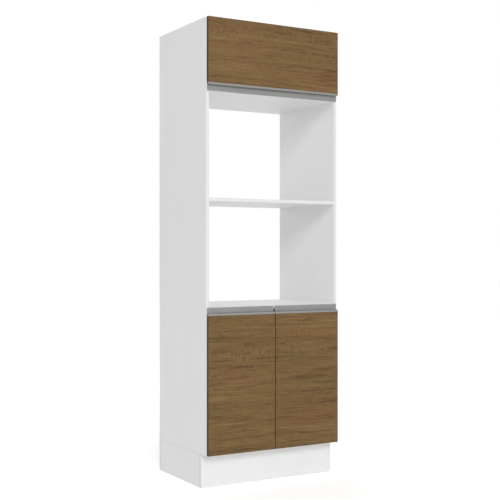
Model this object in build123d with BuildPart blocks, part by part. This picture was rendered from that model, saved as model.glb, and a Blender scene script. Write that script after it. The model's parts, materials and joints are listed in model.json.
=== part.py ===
"""Tall kitchen cabinet for two built-in ovens.

Two open niches carry the ovens. A lift-up flap closes the compartment above them and a
pair of doors closes the one below. The cabinet stands on a recessed plinth.

Millimetres. X runs to the right seen from the front, Y to the back and Z up. The origin
is on the floor, at the middle of the space that the closed cabinet fills.
"""

import os

from build123d import *

os.makedirs("parts", exist_ok=True)

# Carcass
cabinet_width = 700.0
carcass_depth = 490.0
board = 15.0  # every chipboard panel
back_board = 3.0  # hardboard backs
back_side_gap = 0.5  # play of a back between the side panels
back_end_cover = 1.0  # board edge left bare above and below a back
edge_ease = 0.4  # rounding along the banded front edges
lower_clear = 631.5  # clear heights, from the bottom up
niche_clear = 472.0
upper_clear = 299.5

# Plinth
plinth_height = 150.0
plinth_recess = 50.0
block_size = 30.0  # corner blocks

# Doors and flap
door_thickness = 15.0
door_gap = 1.5  # between the carcass front and a closed door
side_reveal = 2.5  # carcass edge beside the doors
bottom_reveal = 2.5  # carcass edge below the doors
flap_top_reveal = 0.0
meeting_gap = 3.0  # between the two doors
handle_reveal = 2.5  # board edge that shows beyond a handle
hinge_edge_round = 2.0  # back edge on the hinged side, rounded so that it swings clear

# Aluminium handle profile
handle_wall = 1.5
handle_lip = 10.0  # front lip over the door edge
handle_rise = 36.0  # back wall over the door edge
handle_end_cut = 1.5  # back wall cut short at each end, so that it swings clear
handle_tip_round = 0.5
handle_screw_inset = 40.0
door_handle_screw_count = 3
flap_handle_screw_count = 5

# Concealed hinges, measured from the pin
pin_radius = 1.0
pin_inset = 6.4  # from the hinged edge of the door
pin_depth = 10.0  # from the back face of the door
pin_half_length = 7.9
cup_inset = 20.5  # cup centre from the hinged edge of the door
cup_radius = 17.5
cup_bore = 16.7
cup_depth = 12.8
cup_floor = 0.6
cup_flange = 0.7
cup_wing_length = 62.0
cup_wing_width = 17.0
cup_wing_round = 5.5
cup_screw_pitch = 48.0
cup_screw_clear = 5.5  # cup screws of the flap, from the inner face of the top panel
ear_inner = 6.2  # the ears that hold the pin, from the middle of the hinge
ear_outer = 7.8
ear_half = 2.0
knuckle_radius = 1.6
arm_width = 9.0
leg_thickness = 2.0
foot_thickness = 1.8
channel_height = 3.4
channel_width = 13.0
channel_length = 52.0
channel_start = 8.0  # behind the carcass front
sheet = 1.2  # steel of the arms
plate_setback = 37.0  # screw line behind the carcass front
plate_wing_width = 22.0
plate_wing_length = 52.0
plate_wing_thickness = 1.5
plate_wing_round = 5.5
plate_rail_least = 1.5  # rail of the lowest plate
plate_rail_length = 46.0
plate_rail_width = 14.0
plate_screw_pitch = 32.0
door_hinge_setback = 95.0
flap_hinge_setback = 97.5

# Friction stays of the flap, one on each side
stay_setback = 95.0  # pivot behind the carcass front
stay_drop = 45.0  # pivot below the top panel
stay_crank = 90.0  # length of the lever along the closed flap
ear_reach = 14.0  # pin of the flap's ear, behind the flap
stay_base_length = 60.0
stay_base_height = 46.0
stay_base_thickness = 2.0
stay_boss_radius = 9.0
stay_boss_end = 12.0  # layers, as distances from the inner face of the side panel
lever_layer = 13.0
link_layer = 16.0
stud_end = 20.8
washer_thickness = 0.7
lever_thickness = 2.5
link_thickness = 2.5
stud_radius = 3.0
washer_radius = 8.0
nut_radius = 5.5
lever_hub = 9.0
lever_tip = 6.5
link_end = 6.0
rivet_radius = 2.5
rivet_head = 4.5
rivet_head_thickness = 1.2
ear_foot_width = 27.0
ear_foot_height = 36.0
ear_foot_thickness = 1.5
ear_foot_round = 3.0
ear_rib_height = 26.0
ear_screw_offset = 17.0
ear_screw_pitch = 20.0

# Board joints
fixing_setback = 60.0  # cam from the front or back edge
dowel_pitch = 32.0  # dowel from the cam
cam_setback = 24.0  # cam centre from the board end
cam_radius = 7.4
cam_cover = 2.6  # board left above a cam
cam_drive = 2.5
bolt_radius = 2.9
bolt_head_radius = 3.3
bolt_head_length = 5.0
bolt_bore = 3.6
bolt_past_cam = 3.0
bolt_in_panel = 11.0
cap_radius = 8.5
cap_thickness = 0.8
cap_spigot = 2.0
cap_spigot_length = 1.5
dowel_radius = 3.95
dowel_in_panel = 10.0
dowel_in_board = 20.0
dowel_chamfer = 0.6

# Inner shelf
shelf_height = 300.0  # above the bottom panel
shelf_front_setback = 40.0
shelf_gap = 1.0  # at the sides and the back
pin_setback = 60.0  # shelf pins from the shelf's front and back edges
shelf_pin_radius = 2.5
shelf_pin_in_panel = 8.0
shelf_pin_reach = 7.0
spoon_width = 10.0  # flat of a shelf pin, under the shelf
spoon_thickness = 1.5

# Wall brackets
bracket_width = 30.0
bracket_leg = 40.0
bracket_sheet = 2.0
bracket_pitch = 400.0
wall_hole_radius = 3.0
wall_hole_drop = 22.0
bracket_screw_back = 28.0
bracket_screw_pitch = 14.0

# Small parts
nail_radius = 0.8
nail_length = 18.0
nail_head = 1.9
nail_head_thickness = 0.6
nails_in_row = 7
nail_end = 20.0
bumper_radius = 4.0
bumper_thickness = 1.2
bumper_inset = 20.0
flap_bumper_inset = 60.0
recess_length = 3.4  # cross recess of a screw head
recess_width = 0.8
recess_depth = 0.8

# Clearances
press_gap = 0.02  # parts pressed or screwed together, on the radius
running_gap = 0.05  # parts that turn on each other, on the radius
free_gap = 0.1  # loose holes
running_face_gap = 0.3  # faces that pass each other
end_gap = 0.5  # past the end of a screw, bolt or dowel

# Places that follow from the sizes above
hands = {"left": -1, "right": 1}  # sign of X on each side
overall_depth = carcass_depth + door_gap + door_thickness
back_y = overall_depth / 2
front_y = back_y - carcass_depth
board_back_y = back_y - back_board
door_back_y = front_y - door_gap
outer_x = cabinet_width / 2
inner_x = outer_x - board

bottom_level = plinth_height
niche_floor_level = bottom_level + board + lower_clear
shelf_level = niche_floor_level + board + niche_clear
roof_level = shelf_level + board + niche_clear
top_level = roof_level + board + upper_clear
cabinet_height = top_level + board
board_levels = (bottom_level, niche_floor_level, shelf_level, roof_level, top_level)

door_width = (cabinet_width - 2 * side_reveal - meeting_gap) / 2
door_middle_x = (meeting_gap + door_width) / 2
door_bottom = plinth_height + bottom_reveal
door_top = niche_floor_level + board - handle_reveal - handle_rise
flap_width = cabinet_width - 2 * side_reveal
flap_bottom = roof_level + handle_reveal + handle_rise
flap_top = cabinet_height - flap_top_reveal

# Hinge pins. Local X leads away from the hinged edge, local Y to the back of the cabinet.
pin_y = door_back_y - pin_depth
door_pin_x = outer_x - side_reveal - pin_inset
flap_pin_z = flap_top - pin_inset
door_pins = {
    side: [
        Plane(origin=(side * door_pin_x, pin_y, z), x_dir=(-side, 0, 0), z_dir=(0, 0, -side))
        for z in (door_bottom + door_hinge_setback, door_top - door_hinge_setback)
    ]
    for side in hands.values()
}
flap_pins = [
    Plane(origin=(side * (flap_width / 2 - flap_hinge_setback), pin_y, flap_pin_z),
          x_dir=(0, 0, -1), z_dir=(1, 0, 0))
    for side in hands.values()
]
door_panel_offset = board - side_reveal - pin_inset  # carcass face that carries the hinge
flap_panel_offset = board - flap_top_reveal - pin_inset
arm_reach = max(door_panel_offset, flap_panel_offset) + plate_rail_least + channel_height
cup_wing_shift = board + cup_screw_clear - flap_top_reveal - cup_inset


def cup_plane(pin):
    """Back face of the door at the middle of the hinge cup, facing the cabinet."""
    centre = pin.from_local_coords((cup_inset - pin_inset, pin_depth, 0))
    return Plane(origin=centre, x_dir=pin.x_dir, z_dir=pin.y_dir)


def plate_plane(pin, panel_offset):
    """Carcass face under a hinge at the screw line, facing into the cabinet."""
    centre = pin.from_local_coords((panel_offset, pin_depth + door_gap + plate_setback, 0))
    return Plane(origin=centre, x_dir=pin.y_dir, z_dir=pin.x_dir)


def along(plane, x, y, z=0):
    """The same plane moved by a local offset."""
    return Plane(origin=plane.from_local_coords((x, y, z)), x_dir=plane.x_dir, z_dir=plane.z_dir)


def slab(x_range, y_range, z_range):
    """Rectangular block between two corners."""
    ranges = [sorted(ends) for ends in (x_range, y_range, z_range)]
    with Locations(tuple(low for low, _ in ranges)):
        Box(*(high - low for low, high in ranges), align=(Align.MIN, Align.MIN, Align.MIN))


def ease_front_edges(part, direction):
    """Round the two long edges on the front face of a board."""
    fillet(part.edges().filter_by(direction).group_by(Axis.Y)[0], radius=edge_ease)


# Screws. A master stands with its head face on Z = 0 and its point down.
handle_screw_size = (20.0, 1.6, 3.0)  # length, shank radius, head radius
block_screw_size = (40.0, 2.0, 3.8)
hinge_screw_size = (12.0, 1.8, 3.5)
pan_head_thickness = 1.2
countersink_angle = 90.0
arm_screw_size = (4.8, 1.85, 3.5)


def cut_cross_recess(height):
    """Cut the cross recess into a head whose top face lies at a height."""
    from_top = (Align.CENTER, Align.CENTER, Align.MAX)
    with Locations((0, 0, height)):
        Box(recess_length, recess_width, recess_depth, align=from_top, mode=Mode.SUBTRACT)
        Box(recess_width, recess_length, recess_depth, align=from_top, mode=Mode.SUBTRACT)


def countersunk_screw(length, shank, head):
    """Screw with a countersunk head, flush with Z = 0."""
    with BuildPart() as screw:
        with BuildSketch(Plane.XZ):
            Polygon((0, 0), (head, 0), (shank, shank - head), (shank, 2 * shank - length), (0, -length),
                    align=None)
        revolve(axis=Axis.Z)
        cut_cross_recess(0)
    return screw.part


def pan_screw(length, shank, head):
    """Screw with a flat round head that sits on Z = 0 and rises above it."""
    with BuildPart() as screw:
        Cylinder(shank, length, align=(Align.CENTER, Align.CENTER, Align.MAX))
        with BuildSketch():
            Circle(head)
        extrude(amount=pan_head_thickness)
        cut_cross_recess(pan_head_thickness)
    return screw.part


def pilot_holes(planes, size, gap):
    """Round holes for the shanks of screws whose heads sit on the given planes."""
    length, shank, _ = size
    with Locations(*planes):
        Cylinder(shank + gap, length + end_gap, align=(Align.CENTER, Align.CENTER, Align.MAX),
                 mode=Mode.SUBTRACT)


def sunk_holes(planes, size, gap):
    """Countersunk holes for screws whose heads lie flush with the given planes."""
    length, shank, head = size
    with Locations(*planes):
        CounterSinkHole(radius=shank + gap, counter_sink_radius=head + gap, depth=length + end_gap,
                        counter_sink_angle=countersink_angle)


handle_screw = countersunk_screw(*handle_screw_size)
block_screw = countersunk_screw(*block_screw_size)
hinge_screw = pan_screw(*hinge_screw_size)
arm_screw = pan_screw(*arm_screw_size)

# Joints between the cross boards and the side panels, seen from the board end
cam_height = board - cam_cover
cam_rows = (front_y + fixing_setback, back_y - fixing_setback)
dowel_rows = (cam_rows[0] + dowel_pitch, cam_rows[1] - dowel_pitch)


def end_planes(level, rows, sides=tuple(hands.values())):
    """Planes at the middle of a board end, facing the side panel."""
    return [
        Plane(origin=(side * inner_x, y, level + board / 2), x_dir=(0, 1, 0), z_dir=(side, 0, 0))
        for side in sides
        for y in rows
    ]


def cam_planes(level):
    """Planes on the underside of a board at its cams, with local X towards the side panel."""
    return [
        Plane(origin=(side * (inner_x - cam_setback), y, level), x_dir=(side, 0, 0), z_dir=(0, 0, -1))
        for side in hands.values()
        for y in cam_rows
    ]


def blind_holes(planes, radius, depth, into_plane=True):
    """Round holes from the given planes, against or along their normals."""
    side = Align.MAX if into_plane else Align.MIN
    with Locations(*planes):
        Cylinder(radius, depth, align=(Align.CENTER, Align.CENTER, side), mode=Mode.SUBTRACT)


def cross_board(level, back_edge):
    """Plain board between the side panels."""
    slab((-inner_x, inner_x), (front_y, back_edge), (level, level + board))


def bore_board_ends(level):
    """Cut the cam, bolt and dowel holes of one cross board."""
    blind_holes(cam_planes(level), cam_radius + running_gap, cam_height + free_gap)
    blind_holes(end_planes(level, cam_rows), bolt_bore, cam_setback)
    blind_holes(end_planes(level, dowel_rows), dowel_radius + press_gap, dowel_in_board + end_gap)


# Nails through the backs into the rear edges of the boards
nail_pitch = (2 * inner_x - 2 * nail_end) / (nails_in_row - 1)


def nail_planes(level):
    """Planes on the outside of a back along one board, facing out of the cabinet."""
    first = -inner_x + nail_end
    return [
        Plane(origin=(first + i * nail_pitch, back_y, level + board / 2), x_dir=(-1, 0, 0), z_dir=(0, 1, 0))
        for i in range(nails_in_row)
    ]


backed_levels = (bottom_level, niche_floor_level, roof_level, top_level)
all_nails = [plane for level in backed_levels for plane in nail_planes(level)]

# Screws of the hinge plates, cups, wall brackets and plinth blocks
door_plates = {
    side: [plate_plane(pin, door_panel_offset) for pin in pins] for side, pins in door_pins.items()
}
flap_plates = [plate_plane(pin, flap_panel_offset) for pin in flap_pins]


def plate_screw_planes(plates):
    """Screw heads on the wings of the hinge plates."""
    return [
        along(plate, 0, side * plate_screw_pitch / 2, plate_wing_thickness)
        for plate in plates
        for side in hands.values()
    ]


def cup_screw_planes(pins):
    """Screw heads on the wings of the hinge cups."""
    return [
        along(cup_plane(pin), cup_wing_shift, side * cup_screw_pitch / 2, cup_flange)
        for pin in pins
        for side in hands.values()
    ]


bracket_places = (-bracket_pitch / 2, bracket_pitch / 2)
bracket_screws = [
    Plane(origin=(x + side * bracket_screw_pitch / 2, board_back_y - bracket_screw_back,
                  top_level - bracket_sheet), z_dir=(0, 0, -1))
    for x in bracket_places
    for side in hands.values()
]
wall_holes = [
    Plane(origin=(x, back_y, top_level - wall_hole_drop), x_dir=(-1, 0, 0), z_dir=(0, 1, 0))
    for x in bracket_places
]

plinth_front_y = front_y + plinth_recess
block_x = inner_x - block_size / 2
block_front_y = plinth_front_y + board + block_size / 2
block_back_y = back_y - board - block_size / 2
block_screw_shift = block_size / 4


def block_screw_planes(side, end, y):
    """Heads of the three screws of one corner block: up, outwards and sideways."""
    x = side * block_x
    half = block_size / 2
    middle_z = plinth_height - half
    return [
        Plane(origin=(x, y, plinth_height - block_size), z_dir=(0, 0, -1)),
        Plane(origin=(x - side * block_screw_shift, y - end * half, middle_z - block_screw_shift),
              x_dir=(1, 0, 0), z_dir=(0, -end, 0)),
        Plane(origin=(x - side * half, y - end * block_screw_shift, middle_z + block_screw_shift),
              x_dir=(0, 1, 0), z_dir=(-side, 0, 0)),
    ]


plinth_screw_places = [
    plane
    for side in hands.values()
    for end, y in ((-1, block_front_y), (1, block_back_y))
    for plane in block_screw_planes(side, end, y)
]

# Inner shelf and its pins
inner_shelf_level = bottom_level + board + shelf_height
inner_shelf_front = front_y + shelf_front_setback
inner_shelf_back = board_back_y - shelf_gap
shelf_pin_rows = (inner_shelf_front + pin_setback, inner_shelf_back - pin_setback)


def shelf_pin_planes(side):
    """Planes on the side panel's inner face at the shelf pins, facing into the cabinet."""
    return [
        Plane(origin=(side * inner_x, y, inner_shelf_level - shelf_pin_radius),
              x_dir=(0, 1, 0), z_dir=(-side, 0, 0))
        for y in shelf_pin_rows
    ]


# Pivots of the stays, in Y and Z
stay_pivot = (front_y + stay_setback, top_level - stay_drop)
crank = (pin_depth + ear_reach, -stay_crank)
knee = (stay_pivot[0] + crank[0], stay_pivot[1] + crank[1])
ear_pin = (pin_y + crank[0], flap_pin_z + crank[1])
stay_screw_offsets = ((-22.0, -14.0), (22.0, -14.0), (0.0, 16.0))


def facing_in(side, distance, place=(0, 0)):
    """Plane at a distance from a side panel's inner face, facing into the cabinet.

    The place of its origin is in Y and Z. Local X is Y, and local Y is Z times minus the side.
    """
    return Plane(origin=(side * (inner_x - distance), *place), x_dir=(0, 1, 0), z_dir=(-side, 0, 0))


def stay_screw_planes(side):
    """Screw heads on the base of one stay."""
    return [
        facing_in(side, stay_base_thickness, (stay_pivot[0] + y, stay_pivot[1] + z))
        for y, z in stay_screw_offsets
    ]


ear_face = Plane(origin=(0, door_back_y + ear_foot_thickness, ear_pin[1]), x_dir=(-1, 0, 0), z_dir=(0, 1, 0))


def ear_screw_planes(side):
    """Screw heads on the foot of one ear."""
    x = -side * (inner_x - lever_layer - ear_screw_offset)
    return [along(ear_face, x, end * ear_screw_pitch / 2) for end in (-1, 1)]


def write_piece(piece, name):
    """Label a finished piece and write it to its own file."""
    piece.part.label = name
    export_step(piece.part, f"parts/{name}.step")


# Side panels
for hand, side in hands.items():
    with BuildPart() as side_panel:
        slab((side * outer_x, side * inner_x), (front_y, back_y), (plinth_height, cabinet_height))
        ease_front_edges(side_panel, Axis.Z)
        for level in board_levels:
            blind_holes(end_planes(level, cam_rows, [side]), bolt_radius + press_gap,
                        bolt_in_panel + end_gap, into_plane=False)
            blind_holes(end_planes(level, dowel_rows, [side]), dowel_radius + press_gap,
                        dowel_in_panel + end_gap, into_plane=False)
        blind_holes(shelf_pin_planes(side), shelf_pin_radius + press_gap, shelf_pin_in_panel + end_gap)
        pilot_holes(plate_screw_planes(door_plates[side]), hinge_screw_size, press_gap)
        pilot_holes(stay_screw_planes(side), hinge_screw_size, press_gap)
    write_piece(side_panel, f"side_panel_{hand}")

# Cross boards, from the bottom up
with BuildPart() as bottom_panel:
    cross_board(bottom_level, board_back_y)
    ease_front_edges(bottom_panel, Axis.X)
    bore_board_ends(bottom_level)
    pilot_holes(plinth_screw_places, block_screw_size, press_gap)
    pilot_holes(nail_planes(bottom_level), (nail_length, nail_radius, nail_head), press_gap)
write_piece(bottom_panel, "bottom_panel")

with BuildPart() as niche_floor_panel:
    cross_board(niche_floor_level, board_back_y)
    ease_front_edges(niche_floor_panel, Axis.X)
    bore_board_ends(niche_floor_level)
    pilot_holes(nail_planes(niche_floor_level), (nail_length, nail_radius, nail_head), press_gap)
write_piece(niche_floor_panel, "niche_floor_panel")

with BuildPart() as oven_shelf:
    cross_board(shelf_level, back_y)
    ease_front_edges(oven_shelf, Axis.X)
    bore_board_ends(shelf_level)
write_piece(oven_shelf, "oven_shelf")

with BuildPart() as niche_roof_panel:
    cross_board(roof_level, board_back_y)
    ease_front_edges(niche_roof_panel, Axis.X)
    bore_board_ends(roof_level)
    pilot_holes(nail_planes(roof_level), (nail_length, nail_radius, nail_head), press_gap)
write_piece(niche_roof_panel, "niche_roof_panel")

with BuildPart() as top_panel:
    cross_board(top_level, board_back_y)
    ease_front_edges(top_panel, Axis.X)
    bore_board_ends(top_level)
    pilot_holes(nail_planes(top_level), (nail_length, nail_radius, nail_head), press_gap)
    pilot_holes(plate_screw_planes(flap_plates), hinge_screw_size, press_gap)
    pilot_holes(bracket_screws, hinge_screw_size, press_gap)
write_piece(top_panel, "top_panel")

# Board joints
with BuildPart() as cam_master:
    Cylinder(cam_radius, cam_height, align=(Align.CENTER, Align.CENTER, Align.MAX))
    with Locations(Plane(origin=(-bolt_past_cam - end_gap, 0, -board / 2), x_dir=(0, 1, 0),
                         z_dir=(1, 0, 0))):
        Cylinder(bolt_bore, 2 * cam_radius, align=(Align.CENTER, Align.CENTER, Align.MIN),
                 mode=Mode.SUBTRACT)
    with BuildSketch():
        RegularPolygon(cam_drive, 6)
    extrude(amount=-cap_spigot_length - end_gap, mode=Mode.SUBTRACT)

with BuildPart() as bolt_master:
    with BuildSketch(Plane.XY.offset(-cam_setback - bolt_past_cam)):
        Circle(bolt_radius)
    extrude(amount=cam_setback + bolt_past_cam + bolt_in_panel)
    with BuildSketch(Plane.XY.offset(-cam_setback - bolt_past_cam)):
        Circle(bolt_head_radius)
    extrude(amount=bolt_head_length)

with BuildPart() as dowel_master:
    with BuildSketch(Plane.XY.offset(-dowel_in_board)):
        Circle(dowel_radius)
    extrude(amount=dowel_in_board + dowel_in_panel)
    chamfer(dowel_master.edges().filter_by(GeomType.CIRCLE), length=dowel_chamfer)

with BuildPart() as cap_master:
    with BuildSketch():
        Circle(cap_radius)
    extrude(amount=cap_thickness)
    fillet(cap_master.edges().group_by(Axis.Z)[-1], radius=cap_thickness / 2)
    with BuildSketch():
        Circle(cap_spigot)
    extrude(amount=-cap_spigot_length)

with BuildPart() as cam_discs:
    with Locations(*[plane for level in board_levels for plane in cam_planes(level)]):
        add(cam_master.part)
write_piece(cam_discs, "cam_discs")

with BuildPart() as cam_bolts:
    with Locations(*[plane for level in board_levels for plane in end_planes(level, cam_rows)]):
        add(bolt_master.part)
write_piece(cam_bolts, "cam_bolts")

with BuildPart() as cam_caps:
    with Locations(*[plane for level in board_levels[1:] for plane in cam_planes(level)]):
        add(cap_master.part)
write_piece(cam_caps, "cam_caps")

with BuildPart() as dowels:
    with Locations(*[plane for level in board_levels for plane in end_planes(level, dowel_rows)]):
        add(dowel_master.part)
write_piece(dowels, "dowels")

# Backs behind the two closed compartments, between the side panels
back_half_width = inner_x - back_side_gap

with BuildPart() as back_panel_upper:
    slab((-back_half_width, back_half_width), (board_back_y, back_y),
         (roof_level + back_end_cover, cabinet_height - back_end_cover))
    for level in (roof_level, top_level):
        pilot_holes(nail_planes(level), (nail_length, nail_radius, nail_head), press_gap)
        blind_holes(nail_planes(level), nail_head + press_gap, nail_head_thickness)
    blind_holes(wall_holes, wall_hole_radius, back_board)
write_piece(back_panel_upper, "back_panel_upper")

with BuildPart() as back_panel_lower:
    slab((-back_half_width, back_half_width), (board_back_y, back_y),
         (bottom_level + back_end_cover, niche_floor_level + board - back_end_cover))
    for level in (bottom_level, niche_floor_level):
        pilot_holes(nail_planes(level), (nail_length, nail_radius, nail_head), press_gap)
        blind_holes(nail_planes(level), nail_head + press_gap, nail_head_thickness)
write_piece(back_panel_lower, "back_panel_lower")

with BuildPart() as nail_master:
    Cylinder(nail_radius, nail_length, align=(Align.CENTER, Align.CENTER, Align.MAX))
    Cylinder(nail_head, nail_head_thickness, align=(Align.CENTER, Align.CENTER, Align.MAX))

with BuildPart() as back_nails:
    with Locations(*all_nails):
        add(nail_master.part)
write_piece(back_nails, "back_nails")

# Plinth
with BuildPart() as plinth_front:
    slab((-outer_x, outer_x), (plinth_front_y, plinth_front_y + board), (0, plinth_height))
    pilot_holes(plinth_screw_places, block_screw_size, press_gap)
write_piece(plinth_front, "plinth_front")

with BuildPart() as plinth_back:
    slab((-outer_x, outer_x), (back_y - board, back_y), (0, plinth_height))
    pilot_holes(plinth_screw_places, block_screw_size, press_gap)
write_piece(plinth_back, "plinth_back")

for hand, side in hands.items():
    with BuildPart() as plinth_side:
        slab((side * outer_x, side * inner_x), (plinth_front_y + board, back_y - board), (0, plinth_height))
        pilot_holes(plinth_screw_places, block_screw_size, press_gap)
    write_piece(plinth_side, f"plinth_side_{hand}")

with BuildPart() as plinth_corner_blocks:
    for y in (block_front_y, block_back_y):
        for x in (-block_x, block_x):
            slab((x - block_size / 2, x + block_size / 2), (y - block_size / 2, y + block_size / 2),
                 (plinth_height - block_size, plinth_height))
    sunk_holes(plinth_screw_places, block_screw_size, press_gap)
write_piece(plinth_corner_blocks, "plinth_corner_blocks")

with BuildPart() as plinth_screws:
    with Locations(*plinth_screw_places):
        add(block_screw)
write_piece(plinth_screws, "plinth_screws")

# Inner shelf
with BuildPart() as inner_shelf:
    slab((-inner_x + shelf_gap, inner_x - shelf_gap), (inner_shelf_front, inner_shelf_back),
         (inner_shelf_level, inner_shelf_level + board))
    ease_front_edges(inner_shelf, Axis.X)
write_piece(inner_shelf, "inner_shelf")

with BuildPart() as shelf_pins:
    for side in hands.values():
        for plane in shelf_pin_planes(side):
            with BuildSketch(plane.offset(-shelf_pin_in_panel)):
                Circle(shelf_pin_radius)
            extrude(amount=shelf_pin_in_panel + shelf_pin_reach)
            with BuildSketch(plane):
                with Locations((0, -side * (shelf_pin_radius - spoon_thickness / 2))):
                    Rectangle(spoon_width, spoon_thickness)
            extrude(amount=shelf_pin_reach)
write_piece(shelf_pins, "shelf_pins")

# Wall brackets at the top of the back
with BuildPart() as wall_brackets:
    for x in bracket_places:
        with BuildSketch(Plane.YZ.offset(x)):
            with Locations((board_back_y, top_level)):
                Rectangle(bracket_leg, bracket_sheet, align=(Align.MAX, Align.MAX))
                Rectangle(bracket_sheet, bracket_leg, align=(Align.MAX, Align.MAX))
        extrude(amount=bracket_width / 2, both=True)
    blind_holes(wall_holes, wall_hole_radius, back_board + bracket_sheet + free_gap)
    pilot_holes(bracket_screws, hinge_screw_size, free_gap)
write_piece(wall_brackets, "wall_brackets")

with BuildPart() as wall_bracket_screws:
    with Locations(*bracket_screws):
        add(hinge_screw)
write_piece(wall_bracket_screws, "wall_bracket_screws")

# Bumpers on the carcass front where the doors and the flap close
bumper_places = [
    (side * (meeting_gap / 2 + bumper_inset), level + board / 2)
    for side in hands.values()
    for level in (bottom_level, niche_floor_level)
] + [(side * (outer_x - flap_bumper_inset), roof_level + board / 2) for side in hands.values()]

with BuildPart() as door_bumpers:
    with BuildSketch(Plane.XZ.offset(-front_y)):
        with Locations(*bumper_places):
            Circle(bumper_radius)
    extrude(amount=bumper_thickness)
    fillet(door_bumpers.edges().group_by(Axis.Y)[0], radius=bumper_thickness / 2)
write_piece(door_bumpers, "door_bumpers")


# Concealed hinges
def build_cup(pin):
    """Cup let into the door back, with two ears that hold the pin.

    The pin hole is drilled first, through the solid cup. Its edge and the wall of the bore
    nearly meet at the ears, and drilled last it can miss one of them.
    """
    mouth = cup_plane(pin)
    ear_end = cup_radius - cup_inset + pin_inset + ear_half
    with BuildSketch(mouth) as body:
        Circle(cup_radius)
    extrude(body.sketch, amount=-cup_depth)
    with BuildSketch(mouth) as flange:
        with Locations((cup_wing_shift, 0)):
            RectangleRounded(cup_wing_width, cup_wing_length, cup_wing_round)
        Circle(cup_radius)
    extrude(flange.sketch, amount=cup_flange)
    with Locations(pin):
        Cylinder(pin_radius + press_gap, 2 * pin_half_length + free_gap, mode=Mode.SUBTRACT)
    with BuildSketch(mouth.offset(cup_flange)) as bore:
        Circle(cup_bore)
    extrude(bore.sketch, amount=ear_half - pin_depth - cup_flange, mode=Mode.SUBTRACT)
    with BuildSketch(mouth.offset(cup_flange)) as bore_beside_ears:
        Circle(cup_bore)
        with Locations(*((-cup_radius, end * (ear_inner + ear_outer) / 2) for end in (-1, 1))):
            Rectangle(ear_end, ear_outer - ear_inner, align=(Align.MIN, Align.CENTER), mode=Mode.SUBTRACT)
    extrude(bore_beside_ears.sketch, amount=cup_floor - cup_depth - cup_flange, mode=Mode.SUBTRACT)
    pilot_holes(cup_screw_planes([pin]), hinge_screw_size, free_gap)


def build_arm(pin):
    """Arm from its knuckle in the cup to its channel on the mounting plate."""
    channel_front = pin_depth + door_gap + channel_start
    rail_top = plate_plane(pin, arm_reach - channel_height)
    channel_middle = (channel_start + channel_length / 2 - plate_setback, 0)
    with BuildSketch(rail_top) as channel:
        with Locations(channel_middle):
            RectangleRounded(channel_length, channel_width, sheet)
    extrude(channel.sketch, amount=channel_height)
    with BuildSketch(rail_top) as hollow:
        with Locations(channel_middle):
            Rectangle(channel_length - 2 * sheet, channel_width - 2 * sheet)
    extrude(hollow.sketch, amount=channel_height - sheet, mode=Mode.SUBTRACT)
    with BuildSketch(pin) as crook:
        Circle(knuckle_radius)
        with Locations((0, -knuckle_radius)):
            Rectangle(arm_reach, foot_thickness, align=(Align.MIN, Align.MIN))
        with Locations((arm_reach, -knuckle_radius)):
            Rectangle(leg_thickness, channel_front + sheet + knuckle_radius, align=(Align.MAX, Align.MIN))
    extrude(crook.sketch, amount=arm_width / 2, both=True)
    with Locations(pin):
        Cylinder(pin_radius + running_gap, arm_width, mode=Mode.SUBTRACT)
    pilot_holes([plate_plane(pin, arm_reach)], arm_screw_size, free_gap)


def build_plate(pin, panel_offset):
    """Mounting plate: two wings on the carcass and a rail that carries the arm."""
    base = plate_plane(pin, panel_offset)
    with BuildSketch(base) as wings:
        RectangleRounded(plate_wing_width, plate_wing_length, plate_wing_round)
    extrude(wings.sketch, amount=plate_wing_thickness)
    with BuildSketch(base) as rail:
        Rectangle(plate_rail_length, plate_rail_width)
    extrude(rail.sketch, amount=arm_reach - channel_height - panel_offset)
    pilot_holes(plate_screw_planes([base]), hinge_screw_size, free_gap)
    pilot_holes([plate_plane(pin, arm_reach)], arm_screw_size, press_gap)


hinge_places = [
    (pin, offset)
    for pins, offset in (
        (door_pins[-1], door_panel_offset), (door_pins[1], door_panel_offset), (flap_pins, flap_panel_offset)
    )
    for pin in pins
]

with BuildPart() as hinge_arms:
    for pin, _ in hinge_places:
        build_arm(pin)
write_piece(hinge_arms, "hinge_arms")

with BuildPart() as hinge_plates:
    for pin, offset in hinge_places:
        build_plate(pin, offset)
write_piece(hinge_plates, "hinge_plates")

with BuildPart() as hinge_plate_screws:
    with Locations(*plate_screw_planes(door_plates[-1] + door_plates[1] + flap_plates)):
        add(hinge_screw)
write_piece(hinge_plate_screws, "hinge_plate_screws")

with BuildPart() as hinge_arm_screws:
    with Locations(*(plate_plane(pin, arm_reach) for pin, _ in hinge_places)):
        add(arm_screw)
write_piece(hinge_arm_screws, "hinge_arm_screws")


# Handles. In the section plane X leads to the front and Y off the edge of the door.
def build_handle(section, width):
    """Aluminium profile that caps one edge of a door and leaves a channel for the fingers."""
    with BuildSketch(section) as profile:
        Polygon((0, 0), (door_thickness, 0), (door_thickness, handle_lip),
                (door_thickness - handle_wall, handle_lip), (door_thickness - handle_wall, handle_wall),
                (handle_wall, handle_wall), (handle_wall, handle_rise), (0, handle_rise), align=None)
        heights = profile.vertices().group_by(Axis.Y)
        fillet(heights[-1] + heights[-2], radius=handle_tip_round)
    extrude(profile.sketch, amount=width / 2, both=True)
    for end in (-1, 1):
        with BuildSketch(section.offset(end * width / 2)) as wall_end:
            Rectangle(handle_wall, handle_rise, align=(Align.MIN, Align.MIN))
        extrude(wall_end.sketch, amount=-end * handle_end_cut, mode=Mode.SUBTRACT)


def handle_screw_planes(section, width, count):
    """Screw heads along the web of a handle, evenly spaced."""
    pitch = (width - 2 * handle_screw_inset) / (count - 1)
    first = handle_screw_inset - width / 2
    return [
        Plane(origin=section.from_local_coords((door_thickness / 2, handle_wall, first + i * pitch)),
              x_dir=section.z_dir, z_dir=section.y_dir)
        for i in range(count)
    ]


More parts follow.
